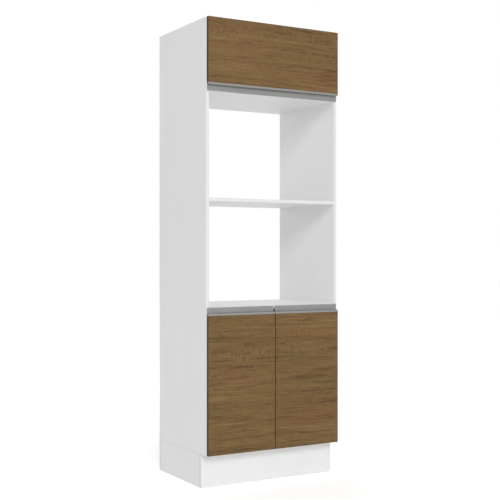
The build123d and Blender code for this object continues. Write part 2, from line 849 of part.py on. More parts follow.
def machine_door(pins, handle_screws):
    """Cut the cup pockets and screw holes of a door."""
    blind_holes([cup_plane(pin) for pin in pins], cup_radius + running_gap, cup_depth + free_gap)
    pilot_holes(cup_screw_planes(pins), hinge_screw_size, press_gap)
    pilot_holes(handle_screws, handle_screw_size, press_gap)


def write_door_fittings(name, section, width, handle_screws, pins):
    """Handle and hinge pieces that turn with a door or the flap."""
    with BuildPart() as handle:
        build_handle(section, width)
        sunk_holes(handle_screws, handle_screw_size, press_gap)
    write_piece(handle, f"{name}_handle")

    with BuildPart() as screws_in_handle:
        with Locations(*handle_screws):
            add(handle_screw)
    write_piece(screws_in_handle, f"{name}_handle_screws")

    with BuildPart() as hinge_cups:
        for pin in pins:
            build_cup(pin)
    write_piece(hinge_cups, f"{name}_hinge_cups")

    with BuildPart() as hinge_pins:
        with Locations(*pins):
            Cylinder(pin_radius, 2 * pin_half_length)
    write_piece(hinge_pins, f"{name}_hinge_pins")

    with BuildPart() as cup_screws:
        with Locations(*cup_screw_planes(pins)):
            add(hinge_screw)
    write_piece(cup_screws, f"{name}_cup_screws")


# Doors
for hand, side in hands.items():
    door_section = Plane(origin=(side * door_middle_x, door_back_y, door_top),
                         x_dir=(0, -1, 0), z_dir=(-1, 0, 0))
    door_handle_screws = handle_screw_planes(door_section, door_width, door_handle_screw_count)
    with BuildPart() as door_panel:
        slab((side * meeting_gap / 2, side * (outer_x - side_reveal)),
             (door_back_y - door_thickness, door_back_y), (door_bottom, door_top))
        fillet(door_panel.edges().group_by(Axis.Y)[0], radius=edge_ease)
        back_edges = door_panel.edges().filter_by(Axis.Z).group_by(Axis.Y)[-1]
        fillet(back_edges.sort_by(lambda edge: side * edge.center().X)[-1], radius=hinge_edge_round)
        machine_door(door_pins[side], door_handle_screws)
    write_piece(door_panel, f"door_{hand}_panel")
    write_door_fittings(f"door_{hand}", door_section, door_width, door_handle_screws, door_pins[side])

# Flap
flap_section = Plane(origin=(0, door_back_y, flap_bottom), x_dir=(0, -1, 0), z_dir=(1, 0, 0))
flap_handle_screws = handle_screw_planes(flap_section, flap_width, flap_handle_screw_count)

with BuildPart() as flap_panel:
    slab((-flap_width / 2, flap_width / 2), (door_back_y - door_thickness, door_back_y),
         (flap_bottom, flap_top))
    fillet(flap_panel.edges().group_by(Axis.Y)[0], radius=edge_ease)
    back_edges = flap_panel.edges().filter_by(Axis.X).group_by(Axis.Y)[-1]
    fillet(back_edges.sort_by(Axis.Z)[-1], radius=hinge_edge_round)
    machine_door(flap_pins, flap_handle_screws)
    pilot_holes(ear_screw_planes(-1) + ear_screw_planes(1), hinge_screw_size, press_gap)
write_piece(flap_panel, "flap_panel")
write_door_fittings("flap", flap_section, flap_width, flap_handle_screws, flap_pins)


# Stays of the flap. Each is a lever on the side panel and a link to an ear on the flap.
def round_step(side, start, end, place, radius, mode=Mode.ADD):
    """Disc at a place in Y and Z, between two distances from a side panel."""
    with Locations(facing_in(side, start, place)):
        Cylinder(radius, end - start, align=(Align.CENTER, Align.CENTER, Align.MIN), mode=mode)


def flat_bar(side, start, thickness, first, first_radius, second, second_radius):
    """Flat bar with a rounded end at each of two places in Y and Z."""
    with BuildSketch(facing_in(side, start)) as outline:
        with Locations((first[0], -side * first[1])):
            Circle(first_radius)
        with Locations((second[0], -side * second[1])):
            Circle(second_radius)
        make_hull()
    extrude(outline.sketch, amount=thickness)


def build_ear(side):
    """Foot on the back of the flap, with a rib that holds the rivet."""
    with BuildSketch(ear_face) as foot:
        with Locations((-side * (inner_x - lever_layer - ear_foot_width / 2), 0)):
            RectangleRounded(ear_foot_width, ear_foot_height, ear_foot_round)
    extrude(foot.sketch, amount=-ear_foot_thickness)
    with BuildSketch(facing_in(side, lever_layer)) as rib:
        with Locations((ear_pin[0], -side * ear_pin[1])):
            Circle(lever_tip)
        with Locations((door_back_y, -side * ear_pin[1])):
            Rectangle(ear_foot_thickness, ear_rib_height, align=(Align.MIN, Align.CENTER))
        make_hull()
    extrude(rib.sketch, amount=lever_thickness)
    round_step(side, lever_layer, link_layer, ear_pin, rivet_radius + press_gap, Mode.SUBTRACT)
    pilot_holes(ear_screw_planes(side), hinge_screw_size, free_gap)


def build_rivet(side, place):
    """Rivet that holds the link against the lever or the ear."""
    shank_end = link_layer + link_thickness + running_face_gap
    round_step(side, lever_layer - rivet_head_thickness, lever_layer, place, rivet_head)
    round_step(side, lever_layer, shank_end, place, rivet_radius)
    round_step(side, shank_end, shank_end + rivet_head_thickness, place, rivet_head)


outer_washer_layer = lever_layer + lever_thickness + running_face_gap
nut_layer = outer_washer_layer + washer_thickness

with BuildPart() as flap_stay_ears:
    for side in hands.values():
        build_ear(side)
write_piece(flap_stay_ears, "flap_stay_ears")

with BuildPart() as flap_ear_screws:
    with Locations(*ear_screw_planes(-1), *ear_screw_planes(1)):
        add(hinge_screw)
write_piece(flap_ear_screws, "flap_ear_screws")

with BuildPart() as flap_ear_rivets:
    for side in hands.values():
        build_rivet(side, ear_pin)
write_piece(flap_ear_rivets, "flap_ear_rivets")

with BuildPart() as stay_bases:
    for side in hands.values():
        with BuildSketch(facing_in(side, 0, stay_pivot)):
            RectangleRounded(stay_base_length, stay_base_height, stay_boss_radius)
        extrude(amount=stay_base_thickness)
        round_step(side, stay_base_thickness, stay_boss_end, stay_pivot, stay_boss_radius)
        round_step(side, stay_boss_end, stud_end, stay_pivot, stud_radius)
        pilot_holes(stay_screw_planes(side), hinge_screw_size, free_gap)
write_piece(stay_bases, "stay_bases")

with BuildPart() as stay_base_screws:
    with Locations(*stay_screw_planes(-1), *stay_screw_planes(1)):
        add(hinge_screw)
write_piece(stay_base_screws, "stay_base_screws")

with BuildPart() as stay_washers:
    for side in hands.values():
        for layer in (stay_boss_end, outer_washer_layer):
            round_step(side, layer, layer + washer_thickness, stay_pivot, washer_radius)
        round_step(side, stay_boss_end, stud_end, stay_pivot, stud_radius + press_gap, Mode.SUBTRACT)
write_piece(stay_washers, "stay_washers")

with BuildPart() as stay_nuts:
    for side in hands.values():
        with BuildSketch(facing_in(side, nut_layer, stay_pivot)):
            RegularPolygon(nut_radius, 6)
            Circle(stud_radius + press_gap, mode=Mode.SUBTRACT)
        extrude(amount=stud_end - nut_layer - running_face_gap)
write_piece(stay_nuts, "stay_nuts")

for hand, side in hands.items():
    with BuildPart() as stay_lever:
        flat_bar(side, lever_layer, lever_thickness, stay_pivot, lever_hub, knee, lever_tip)
        round_step(side, lever_layer, link_layer, stay_pivot, stud_radius + running_gap, Mode.SUBTRACT)
        round_step(side, lever_layer, link_layer, knee, rivet_radius + press_gap, Mode.SUBTRACT)
    write_piece(stay_lever, f"stay_lever_{hand}")

    with BuildPart() as knee_rivet:
        build_rivet(side, knee)
    write_piece(knee_rivet, f"knee_rivet_{hand}")

    with BuildPart() as stay_link:
        flat_bar(side, link_layer, link_thickness, knee, link_end, ear_pin, link_end)
        round_step(side, link_layer, stud_end, knee, rivet_radius + running_gap, Mode.SUBTRACT)
        round_step(side, link_layer, stud_end, ear_pin, rivet_radius + free_gap, Mode.SUBTRACT)
    write_piece(stay_link, f"stay_link_{hand}")
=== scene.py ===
"""Looks of a tall kitchen cabinet for two built-in ovens.

Metres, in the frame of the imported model: X runs to the right seen from the front, Y to the
back and Z up, with the floor at Z = 0. Colours are sRGB, from 0 to 255.
"""

import json
import logging
import math
from collections.abc import Callable, Iterable
from dataclasses import dataclass
from enum import Enum

import bmesh
import bpy
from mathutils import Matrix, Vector


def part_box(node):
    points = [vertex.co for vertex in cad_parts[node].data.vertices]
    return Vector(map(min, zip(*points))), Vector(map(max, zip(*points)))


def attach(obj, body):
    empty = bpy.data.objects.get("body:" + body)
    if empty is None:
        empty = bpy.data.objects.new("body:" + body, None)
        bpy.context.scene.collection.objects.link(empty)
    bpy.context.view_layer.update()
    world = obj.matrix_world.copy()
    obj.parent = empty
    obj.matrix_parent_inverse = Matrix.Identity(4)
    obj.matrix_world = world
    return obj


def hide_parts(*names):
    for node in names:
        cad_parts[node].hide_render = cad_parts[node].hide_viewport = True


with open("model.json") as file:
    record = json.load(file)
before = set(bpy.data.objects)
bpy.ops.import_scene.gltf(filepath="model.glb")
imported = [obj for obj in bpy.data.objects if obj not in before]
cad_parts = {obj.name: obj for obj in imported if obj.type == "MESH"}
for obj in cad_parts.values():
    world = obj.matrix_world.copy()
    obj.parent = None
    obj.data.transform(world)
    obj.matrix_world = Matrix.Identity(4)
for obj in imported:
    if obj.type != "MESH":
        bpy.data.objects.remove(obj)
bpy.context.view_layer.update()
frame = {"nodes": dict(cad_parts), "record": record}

Colour = tuple[int, int, int]
Triple = tuple[float, float, float]
# Points of a turned profile, each as a share of a radius and a share of a depth
Shares = tuple[tuple[float, float], ...]

MM = 0.001
MERGE_DISTANCE = 1e-6
SMOOTH_ANGLE = math.radians(32)
FLAT_ANGLE = math.radians(1)
# A face is square on to an axis where its normal's part along that axis is over this
SQUARE_ON = 0.8

log = logging.getLogger("cabinet")


def linear(colour: Colour) -> tuple[float, float, float, float]:
    """Convert an sRGB colour to the linear values that nodes hold.

    Args:
        colour: Red, green and blue from 0 to 255.

    Returns:
        Linear red, green and blue, with an alpha of 1.
    """
    shares = (channel / 255 for channel in colour)
    return (*(s / 12.92 if s <= 0.04045 else ((s + 0.055) / 1.055) ** 2.4 for s in shares), 1.0)


@dataclass(frozen=True)
class Pattern:
    """A noise pattern.

    Its cells are counted to a metre along each axis, and each of its layers is finer than the
    one before and as strong as the fineness says. The start shifts the pattern, and the weight
    is its share in a sum of patterns.
    """

    cells: Triple
    layers: float = 3.0
    start: Triple = (0.0, 0.0, 0.0)
    fineness: float = 0.5
    weight: float = 1.0


@dataclass(frozen=True)
class Rise:
    """A smooth rise from nothing at a low value to its full strength at a high one."""

    low: float
    high: float
    strength: float = 1.0


def operator(operation: str, swapped: bool = False) -> Callable[..., "Signal"]:
    """Make a method of a signal that adds a Math node.

    Args:
        operation: The Math node's operation.
        swapped: Whether the signal is the second value instead of the first.

    Returns:
        The method, which takes the other values and returns the result.
    """
    def method(signal: "Signal", *others: "Signal | float") -> "Signal":
        """Return the result of the operation."""
        values = (*others, signal) if swapped else (signal, *others)
        return signal.tree.node("ShaderNodeMath", dict(enumerate(values)), operation=operation)

    return method


class Signal:
    """An output socket that takes part in arithmetic.

    A comparison gives 1 where it is true, and 0 elsewhere.
    """

    __add__ = __radd__ = operator("ADD")
    __sub__ = operator("SUBTRACT")
    __rsub__ = operator("SUBTRACT", swapped=True)
    __mul__ = __rmul__ = operator("MULTIPLY")
    __truediv__ = operator("DIVIDE")
    __abs__ = operator("ABSOLUTE")
    __gt__ = operator("GREATER_THAN")
    __lt__ = operator("LESS_THAN")
    larger = operator("MAXIMUM")
    smaller = operator("MINIMUM")
    fraction = operator("FRACT")
    cosine = operator("COSINE")
    sine = operator("SINE")
    root = operator("SQRT")

    def __init__(self, tree: "Tree", socket: bpy.types.NodeSocket) -> None:
        """Wrap one output socket of a tree."""
        self.tree = tree
        self.socket = socket

    def __neg__(self) -> "Signal":
        """Return this signal with the other sign."""
        return self * -1.0

    def beside(self, name: str) -> "Signal":
        """Return another output of the same node, by its name."""
        return Signal(self.tree, self.socket.node.outputs[name])

    def ramp(self, rise: Rise) -> "Signal":
        """Follow a smooth rise."""
        values = {"Value": self, "From Min": rise.low, "From Max": rise.high}
        return self.tree.node("ShaderNodeMapRange", values, interpolation_type="SMOOTHSTEP") * rise.strength

    def swing(self, weight: float) -> "Signal":
        """Make a noise swing about zero instead of one half."""
        return (self - 0.5) * weight

    def axes(self) -> tuple["Signal", "Signal", "Signal"]:
        """Return the X, Y and Z of this vector."""
        x = self.tree.node("ShaderNodeSeparateXYZ", {0: self})
        return x, x.beside("Y"), x.beside("Z")


Value = Signal | float


class Tree:
    """A node tree under construction."""

    def __init__(self, node_tree: bpy.types.NodeTree) -> None:
        """Wrap a node tree of any kind."""
        self.node_tree = node_tree

    def add(self, kind: str, **settings: object) -> bpy.types.Node:
        """Add a node.

        Args:
            kind: The node's type, as Blender names it.
            settings: Properties, which are set before any socket is used.

        Returns:
            The node.
        """
        made = self.node_tree.nodes.new(kind)
        for name, value in settings.items():
            setattr(made, name, value)
        return made

    def fill(self, made: bpy.types.Node, values: dict) -> None:
        """Set or link the input sockets of a node.

        Args:
            made: The node.
            values: Numbers, signals or lists of signals, by the place or name of their socket.
        """
        for key, value in values.items():
            socket = made.inputs[key]
            for item in value if isinstance(value, list) else [value]:
                if isinstance(item, Signal):
                    self.node_tree.links.new(item.socket, socket)
                else:
                    socket.default_value = item

    def node(self, kind: str, values: dict | None = None, output: int | str = 0,
             **settings: object) -> Signal:
        """Add a node and fill its sockets.

        Args:
            kind: The node's type, as Blender names it.
            values: What its input sockets hold, as for fill.
            output: The output to return, by place or name.
            settings: Properties, which are set before any socket is used.

        Returns:
            The chosen output.
        """
        made = self.add(kind, **settings)
        self.fill(made, values or {})
        return Signal(self, made.outputs[output])

    def vector(self, x: Value, y: Value, z: Value) -> Signal:
        """Join three values into a vector."""
        return self.node("ShaderNodeCombineXYZ", {0: x, 1: y, 2: z})


class Surface(Tree):
    """A material under construction."""

    def __init__(self, name: str) -> None:
        """Make a material with one shader.

        Args:
            name: The material's name.
        """
        self.material = bpy.data.materials.new(name)
        self.material.use_nodes = True
        super().__init__(self.material.node_tree)
        self.shader = self.node_tree.nodes["Principled BSDF"]
        self.position = self.node("ShaderNodeTexCoord", output="Object")
        self.normal = self.position.beside("Normal")

    def noise(self, pattern: Pattern, place: Signal | None = None) -> Signal:
        """Add a noise pattern.

        Args:
            pattern: The pattern.
            place: Where to read it, the object's own place by default.

        Returns:
            Values around 0.5.
        """
        moved = self.node("ShaderNodeMapping", {"Vector": place or self.position,
                                                "Location": pattern.start, "Scale": pattern.cells})
        return self.node("ShaderNodeTexNoise", {"Vector": moved, "Scale": 1.0, "Detail": pattern.layers,
                                                "Roughness": pattern.fineness})

    def mix(self, share: Value, first: Signal | Colour, second: Signal | Colour) -> Signal:
        """Blend two colours.

        Args:
            share: The share of the second.
            first: A colour or a signal.
            second: A colour or a signal.

        Returns:
            The blend.
        """
        ends = [end if isinstance(end, Signal) else linear(end) for end in (first, second)]
        # A Mix node's sockets for two colours are its seventh and eighth, and its third output
        return self.node("ShaderNodeMix", {0: share, 6: ends[0], 7: ends[1]}, output=2, data_type="RGBA")

    def bump(self, height: Signal, distance: float, strength: float = 0.5) -> Signal:
        """Turn a height into a normal, with the distance in metres."""
        values = {"Strength": strength, "Distance": distance, "Height": height}
        return self.node("ShaderNodeBump", values)


@dataclass(frozen=True)
class Finish:
    """What one material of the cabinet looks like."""

    def values(self, surface: Surface) -> dict[str, Value]:
        """Return what the shader's sockets hold.

        Args:
            surface: The material that shows them.

        Returns:
            Values by the name of their socket.
        """
        raise NotImplementedError

    def build(self, name: str) -> bpy.types.Material:
        """Make the material.

        Args:
            name: The material's name.

        Returns:
            The material.
        """
        surface = Surface(name)
        surface.fill(surface.shader, self.values(surface))
        return surface.material


class Across(Enum):
    """The axis that runs through a board's thickness."""

    X = 0
    Y = 1
    Z = 2


@dataclass(frozen=True)
class Chipboard:
    """Raw chipboard, as bare board edges show it."""

    pale: Colour = (196, 166, 122)
    dark: Colour = (126, 96, 62)
    chips: Pattern = Pattern((420.0, 420.0, 700.0), 4.0)
    pale_chips: Rise = Rise(0.36, 0.64)

    def colour(self, surface: Surface) -> Signal:
        """Return the mottled colour of pressed chips on a surface."""
        return surface.mix(surface.noise(self.chips).ramp(self.pale_chips), self.dark, self.pale)


@dataclass(frozen=True)
class Melamine(Finish):
    """Pale facing of a board, with a plastic band on its front edge and bare edges elsewhere."""

    across: Across
    front: float
    facing: Colour = (240, 240, 240)
    shaded: Colour = (233, 233, 232)
    band: Colour = (228, 228, 228)
    joint: Colour = (190, 189, 186)
    # Dark grey of the chamfered edges: painted shade, so that the grooves between boards show as dark lines
    cut: Colour = (128, 126, 122)
    band_thickness: float = 0.6 * MM
    band_turn: float = 0.2
    end_turn: float = 0.5
    joint_width: float = 0.12 * MM
    mottle: Pattern = Pattern((7.0, 7.0, 3.0), 2.0)
    mottled: Rise = Rise(0.3, 0.7, 0.3)
    pearl: Pattern = Pattern((900.0, 900.0, 900.0), 2.0)
    pearl_height: float = 0.012 * MM
    pearl_roughness: float = 0.06
    bare_roughness: float = 0.9
    polish: float = 0.46

    def values(self, surface: Surface) -> dict[str, Value]:
        """Return the values of a facing with its band, its glue line, its bare edges and painted groove
        shade on its chamfers.

        Args:
            surface: The material that shows them.

        Returns:
            Values by the name of their socket.
        """
        depth = surface.position.axes()[1] - self.front
        normal = surface.normal.axes()
        steep = [abs(part) for part in normal]
        faced = steep[self.across.value] > SQUARE_ON
        chamfered = steep[0].larger(steep[1]).larger(steep[2]) < SQUARE_ON
        glued = faced * (abs(depth - self.band_thickness) < self.joint_width)
        banded = (depth < self.band_thickness) * (-normal[1] > self.band_turn)
        if self.across is Across.Y:
            # The plinth's front and back boards are banded at their ends
            banded = steep[0] > self.end_turn
        pale = surface.mix(surface.noise(self.mottle).ramp(self.mottled), self.facing, self.shaded)
        colour = surface.mix(faced, Chipboard().colour(surface), pale)
        # Painted shade: chamfers take a dark grey that stands for the shadow in the grooves between boards
        colour = surface.mix(chamfered, colour, self.cut)
        colour = surface.mix(banded, colour, self.band)
        colour = surface.mix(glued, colour, self.joint)
        smooth = faced.larger(banded)
        pearl = surface.noise(self.pearl)
        roughness = self.bare_roughness - self.polish * smooth + self.pearl_roughness * pearl
        return {"Base Color": colour, "Roughness": roughness,
                "Normal": surface.bump(pearl, self.pearl_height)}


@dataclass(frozen=True)
class WoodPrint(Finish):
    """Brown oak print with its grain lying along X, continuous from door to door."""

    body: Colour = (119, 92, 57)
    light: Colour = (144, 116, 76)
    dark: Colour = (79, 56, 32)
    red: Colour = (122, 88, 57)
    olive: Colour = (113, 92, 55)
    pore: Colour = (58, 40, 22)
    # Dark brown of the edges: partly the edge band's own colour and partly painted shade for the gaps
    # beside and between the fronts
    band: Colour = (46, 38, 24)
    inside: Colour = (232, 232, 231)
    sway: Pattern = Pattern((1.1, 1.0, 3.0), 1.0, (3.1, 0.0, 1.7), weight=35 * MM)
    swirl: Pattern = Pattern((6.0, 1.0, 22.0), 2.0, (0.4, 0.0, 8.2), weight=7 * MM)
    thickness_share: float = 0.2
    cloud: Pattern = Pattern((1.0, 1.0, 14.0), 3.0, (1.0, 0.0, 2.3), weight=0.75)
    streak: Pattern = Pattern((2.2, 1.0, 74.0), 5.0, (6.0, 0.0, 0.6), 0.7, 1.2)
    dash: Pattern = Pattern((9.0, 1.0, 118.0), 3.0, (3.0, 0.0, 6.0), 0.6, 0.75)
    fibre: Pattern = Pattern((15.0, 1.0, 620.0), fineness=0.6, weight=0.85)
    warmth: Pattern = Pattern((1.8, 1.0, 15.0), 2.0, (4.0, 0.0, 9.0))
    reddened: Rise = Rise(0.48, 0.7, 0.8)
    greened: Rise = Rise(0.48, 0.7, 0.6)
    lightened: Rise = Rise(0.0, 0.42, 0.9)
    darkened: Rise = Rise(0.02, 0.4)
    dashed: Rise = Rise(0.6, 0.7, 0.55)
    fleck: Pattern = Pattern((150.0, 1.0, 34.0), 1.0, (2.0, 0.0, 5.0))
    patch: Pattern = Pattern((5.0, 1.0, 14.0), 1.0, (9.0, 0.0, 4.0))
    sawn_heights: tuple[float, ...] = (0.59, 2.05)
    sawn_reach: float = 50 * MM
    sawn_edge: Rise = Rise(0.0, 0.8)
    sawn_here: Rise = Rise(0.34, 0.54)
    sawn_elsewhere: Rise = Rise(0.5, 0.66, 0.6)
    dark_marks: Rise = Rise(0.54, 0.68, 0.6)
    light_marks: Rise = Rise(0.54, 0.68, 0.4)
    vein: Pattern = Pattern((3.2, 1.0, 88.0), 2.0, (5.0, 0.0, 7.0))
    vein_sharpness: float = 26.0
    vein_area: Pattern = Pattern((3.0, 1.0, 20.0), 1.0, (8.0, 0.0, 1.0))
    veined: Rise = Rise(0.42, 0.6, 0.6)
    pores: Pattern = Pattern((40.0, 1.0, 1300.0), 1.0, (7.0, 0.0, 3.0))
    open_pores: Rise = Rise(0.58, 0.68)
    pore_darkness: float = 0.5
    pore_depth: float = 0.05 * MM
    pore_bump: float = 0.6
    pore_roughness: float = 0.14
    roughness: float = 0.58
    gloss: float = 0.22

    def figure(self, surface: Surface) -> tuple[Signal, Signal]:
        """Return the grain's colour and the share of pores.

        Args:
            surface: The material that shows them.

        Returns:
            The colour of the print, and a mask of its pores.
        """
        x, y, z = surface.position.axes()
        bent = [surface.noise(pattern).swing(pattern.weight) for pattern in (self.sway, self.swirl)]
        place = surface.vector(x, y * self.thickness_share, z + bent[0] + bent[1])
        layers = {pattern: surface.noise(pattern, place)
                  for pattern in (self.cloud, self.streak, self.dash, self.fibre)}
        tone = sum(layer.swing(pattern.weight) for pattern, layer in layers.items())
        warmth = surface.noise(self.warmth, place)
        colour = surface.mix(warmth.ramp(self.reddened), self.body, self.red)
        colour = surface.mix((1.0 - warmth).ramp(self.greened), colour, self.olive)
        colour = surface.mix(tone.ramp(self.lightened), colour, self.light)
        colour = surface.mix((-tone).ramp(self.darkened), colour, self.dark)
        colour = surface.mix(layers[self.dash].ramp(self.dashed), colour, self.dark)
        colour = self.saw_marks(surface, colour, place, z)
        line = 1.0 - abs(surface.noise(self.vein, place) - 0.5) * self.vein_sharpness
        veined = surface.noise(self.vein_area, place).ramp(self.veined)
        colour = surface.mix(line.larger(0.0) * veined, colour, self.dark)
        pores = surface.noise(self.pores, place).ramp(self.open_pores)
        return surface.mix(pores * self.pore_darkness, colour, self.pore), pores

    def saw_marks(self, surface: Surface, colour: Signal, place: Signal, height: Signal) -> Signal:
        """Add the short upright marks that a saw leaves across the grain.

        Args:
            surface: The material that shows them.
            colour: The colour under them.
            place: Where the grain is read.
            height: Height above the floor.

        Returns:
            The colour with the marks.
        """
        fleck = surface.noise(self.fleck, place)
        patch = surface.noise(self.patch, place)
        sawn = patch.ramp(self.sawn_elsewhere)
        for level in self.sawn_heights:
            near = (1.0 - abs(height - level) / self.sawn_reach).ramp(self.sawn_edge)
            sawn = sawn.larger(near * patch.ramp(self.sawn_here))
        colour = surface.mix(sawn * fleck.ramp(self.dark_marks), colour, self.dark)
        return surface.mix(sawn * (1.0 - fleck).ramp(self.light_marks), colour, self.light)

    def values(self, surface: Surface) -> dict[str, Value]:
        """Return the values of a front with its dark edges, partly painted gap shade, and its pale inner
        face.

        Args:
            surface: The material that shows them.

        Returns:
            Values by the name of their socket.
        """
        backward = surface.normal.axes()[1]
        front, back = -backward > SQUARE_ON, backward > SQUARE_ON
        colour, pores = self.figure(surface)
        # Edges and rounded arrises take the dark band, which is partly painted shade for the gaps between
        # the fronts
        colour = surface.mix(front, self.band, colour)
        colour = surface.mix(back, colour, self.inside)
        shown = pores * front
        return {"Base Color": colour, "Roughness": self.roughness + self.pore_roughness * shown,
                "Normal": surface.bump(-shown, self.pore_depth, self.pore_bump),
                "Specular IOR Level": self.gloss}


@dataclass(frozen=True)
class Hardboard(Finish):
    """Thin back, painted on the inside and bare brown fibre on the outside."""

    inside: Colour = (228, 228, 226)
    pale: Colour = (164, 128, 88)
    dark: Colour = (134, 100, 66)
    fibre: Pattern = Pattern((320.0, 320.0, 320.0), 5.0, weight=0.8)
    cloud: Pattern = Pattern((9.0, 9.0, 9.0), weight=0.2)
    pale_fibre: Rise = Rise(0.36, 0.64)
    fibre_height: float = 0.06 * MM
    bare_roughness: float = 0.8
    paint_polish: float = 0.3

    def values(self, surface: Surface) -> dict[str, Value]:
        """Return the values of painted and of bare fibre.

        Args:
            surface: The material that shows them.

        Returns:
            Values by the name of their socket.
        """
        inner = -surface.normal.axes()[1] > SQUARE_ON
        fibre, cloud = surface.noise(self.fibre), surface.noise(self.cloud)
        mottle = fibre * self.fibre.weight + cloud * self.cloud.weight
        brown = surface.mix(mottle.ramp(self.pale_fibre), self.dark, self.pale)
        return {"Base Color": surface.mix(inner, brown, self.inside),
                "Roughness": self.bare_roughness - self.paint_polish * inner,
                "Normal": surface.bump(fibre, self.fibre_height)}


@dataclass(frozen=True)
class Timber(Finish):
    """Plain unfinished wood with fine lines along one axis."""

    pale: Colour
    dark: Colour
    lines: Pattern
    pale_lines: Rise = Rise(0.35, 0.65)
    line_height: float = 0.08 * MM
    line_roughness: float = 0.12
    roughness: float = 0.62

    def values(self, surface: Surface) -> dict[str, Value]:
        """Return the values of lined wood.

        Args:
            surface: The material that shows them.

        Returns:
            Values by the name of their socket.
        """
        lines = surface.noise(self.lines)
        return {"Base Color": surface.mix(lines.ramp(self.pale_lines), self.dark, self.pale),
                "Roughness": self.roughness + self.line_roughness * lines,
                "Normal": surface.bump(lines, self.line_height)}


@dataclass(frozen=True)
class Metal(Finish):
    """Metal with fine lines or grain, and faint stains."""

    colour: Colour
    roughness: float
    cells: Triple
    metallic: float = 1.0
    line_depth: float = 0.01 * MM
    stain: float = 0.36
    stained: Rise = Rise(0.4, 0.7)
    stain_shade: float = 0.86
    uneven: float = 0.16
    cloud: Pattern = Pattern((30.0, 30.0, 30.0), 2.0)

    def values(self, surface: Surface) -> dict[str, Value]:
        """Return the values of lined or grained metal.

        Args:
            surface: The material that shows them.

        Returns:
            Values by the name of their socket.
        """
        lines = surface.noise(Pattern(self.cells))
        stained = surface.noise(self.cloud).ramp(self.stained) * self.stain
        darker = tuple(round(channel * self.stain_shade) for channel in self.colour)
        return {"Base Color": surface.mix(stained, self.colour, darker), "Metallic": self.metallic,
                "Roughness": self.roughness + lines.swing(self.uneven),
                "Normal": surface.bump(lines, self.line_depth)}


@dataclass(frozen=True)
class Plastic(Finish):
    """Moulded plastic or soft clear rubber."""

    colour: Colour
    roughness: float
    alpha: float = 1.0
    grain: Pattern = Pattern((700.0, 700.0, 700.0), 2.0)
    grained: Rise = Rise(0.3, 0.7, 0.5)
    grain_shade: float = 0.95
    grain_height: float = 0.01 * MM
    grain_bump: float = 0.4
    grain_roughness: float = 0.08

    def values(self, surface: Surface) -> dict[str, Value]:
        """Return the values of finely grained plastic.

        Args:
            surface: The material that shows them.

        Returns:
            Values by the name of their socket.
        """
        grain = surface.noise(self.grain)
        darker = tuple(round(channel * self.grain_shade) for channel in self.colour)
        return {"Base Color": surface.mix(grain.ramp(self.grained), self.colour, darker),
                "Roughness": self.roughness + self.grain_roughness * grain, "Alpha": self.alpha,
                "Normal": surface.bump(grain, self.grain_height, self.grain_bump)}


class Finishes:
    """Every material of the cabinet, made once and named for its finish."""

    def __init__(self) -> None:
        """Make the materials that more than one sub-assembly uses."""
        self.wood = WoodPrint().build("wood_print")
        self.hardboard = Hardboard().build("hardboard")
        self.softwood = Timber((214, 183, 134), (186, 148, 98),
                               Pattern((40.0, 600.0, 600.0), 4.0)).build("softwood")
        self.beech = Timber((206, 170, 122), (176, 136, 88),
                            Pattern((60.0, 900.0, 900.0), 4.0)).build("beech")
        self.aluminium = Metal((143, 143, 142), 0.45, (6.0, 2600.0, 2600.0), metallic=0.6,
                               line_depth=0.002 * MM, stain=0.15, uneven=0.05).build("handle_aluminium")
        self.nickel = Metal((196, 196, 193), 0.3, (500.0, 500.0, 500.0), line_depth=0.003 * MM,
                            stain=0.15, uneven=0.1).build("nickel_steel")
        self.stay_steel = Metal((176, 177, 180), 0.36, (60.0, 900.0, 900.0), line_depth=0.004 * MM,
                                stain=0.18, uneven=0.1).build("stay_steel")
        self.plated = Metal((190, 189, 184), 0.3, (800.0, 800.0, 800.0), line_depth=0.003 * MM,
                            stain=0.15, uneven=0.1).build("plated_screw_steel")
        self.zinc = Metal((160, 161, 163), 0.5, (900.0, 900.0, 900.0)).build("cast_zinc")
        self.white_plastic = Plastic((232, 232, 230), 0.42).build("white_plastic")
        self.clear_rubber = Plastic((214, 218, 220), 0.3, alpha=0.55).build("clear_rubber")
        self.boards: dict[tuple[Across, float], bpy.types.Material] = {}

    def board(self, node: str, across: Across) -> bpy.types.Material:
        """Return the facing of a board, by its direction and its front plane.

        Args:
            node: The board's node.
            across: The axis through its thickness.

        Returns:
            The material, shared by boards that lie alike.
        """
        front = round(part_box(node)[0].y, 5)
        key = (across, front)
        if key not in self.boards:
            self.boards[key] = Melamine(across, front).build(f"melamine_{across.name}_{len(self.boards)}")
        return self.boards[key]


def body_of(node: str) -> str:
    """Return the body that holds a node."""
    bodies = frame["record"]["behaviour"]["bodies"]
    return next(body for body, nodes in bodies.items() if node in nodes)


def dress(node: str, material: bpy.types.Material) -> None:
    """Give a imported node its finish."""
    for slot in frame["nodes"][node].material_slots:
        slot.material = material


def merged(node: str) -> bmesh.types.BMesh:
    """Return a copy of a node's mesh with its loose triangles joined.

    Args:
        node: The node's name.

    Returns:
        The copy.
    """
    copy = bmesh.new()
    copy.from_mesh(frame["nodes"][node].data)
    bmesh.ops.remove_doubles(copy, verts=copy.verts, dist=MERGE_DISTANCE)
    return copy


def placed(name: str, data: bpy.types.ID) -> bpy.types.Object:
    """Put a new object into the scene.

    Args:
        name: The object's name.
        data: Its mesh, lamp or camera.

    Returns:
        The object.
    """
    made = bpy.data.objects.new(name, data)
    bpy.context.scene.collection.objects.link(made)
    return made


def adopt(shape: bpy.types.Mesh, slot: str, node: str) -> None:
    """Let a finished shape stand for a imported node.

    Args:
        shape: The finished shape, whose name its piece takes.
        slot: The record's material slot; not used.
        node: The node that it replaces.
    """
    piece = placed(shape.name, shape)
    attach(piece, body_of(node))
    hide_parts(node)
    log.info("%s: %d faces, rides on %s", piece.name, len(shape.polygons), body_of(node))


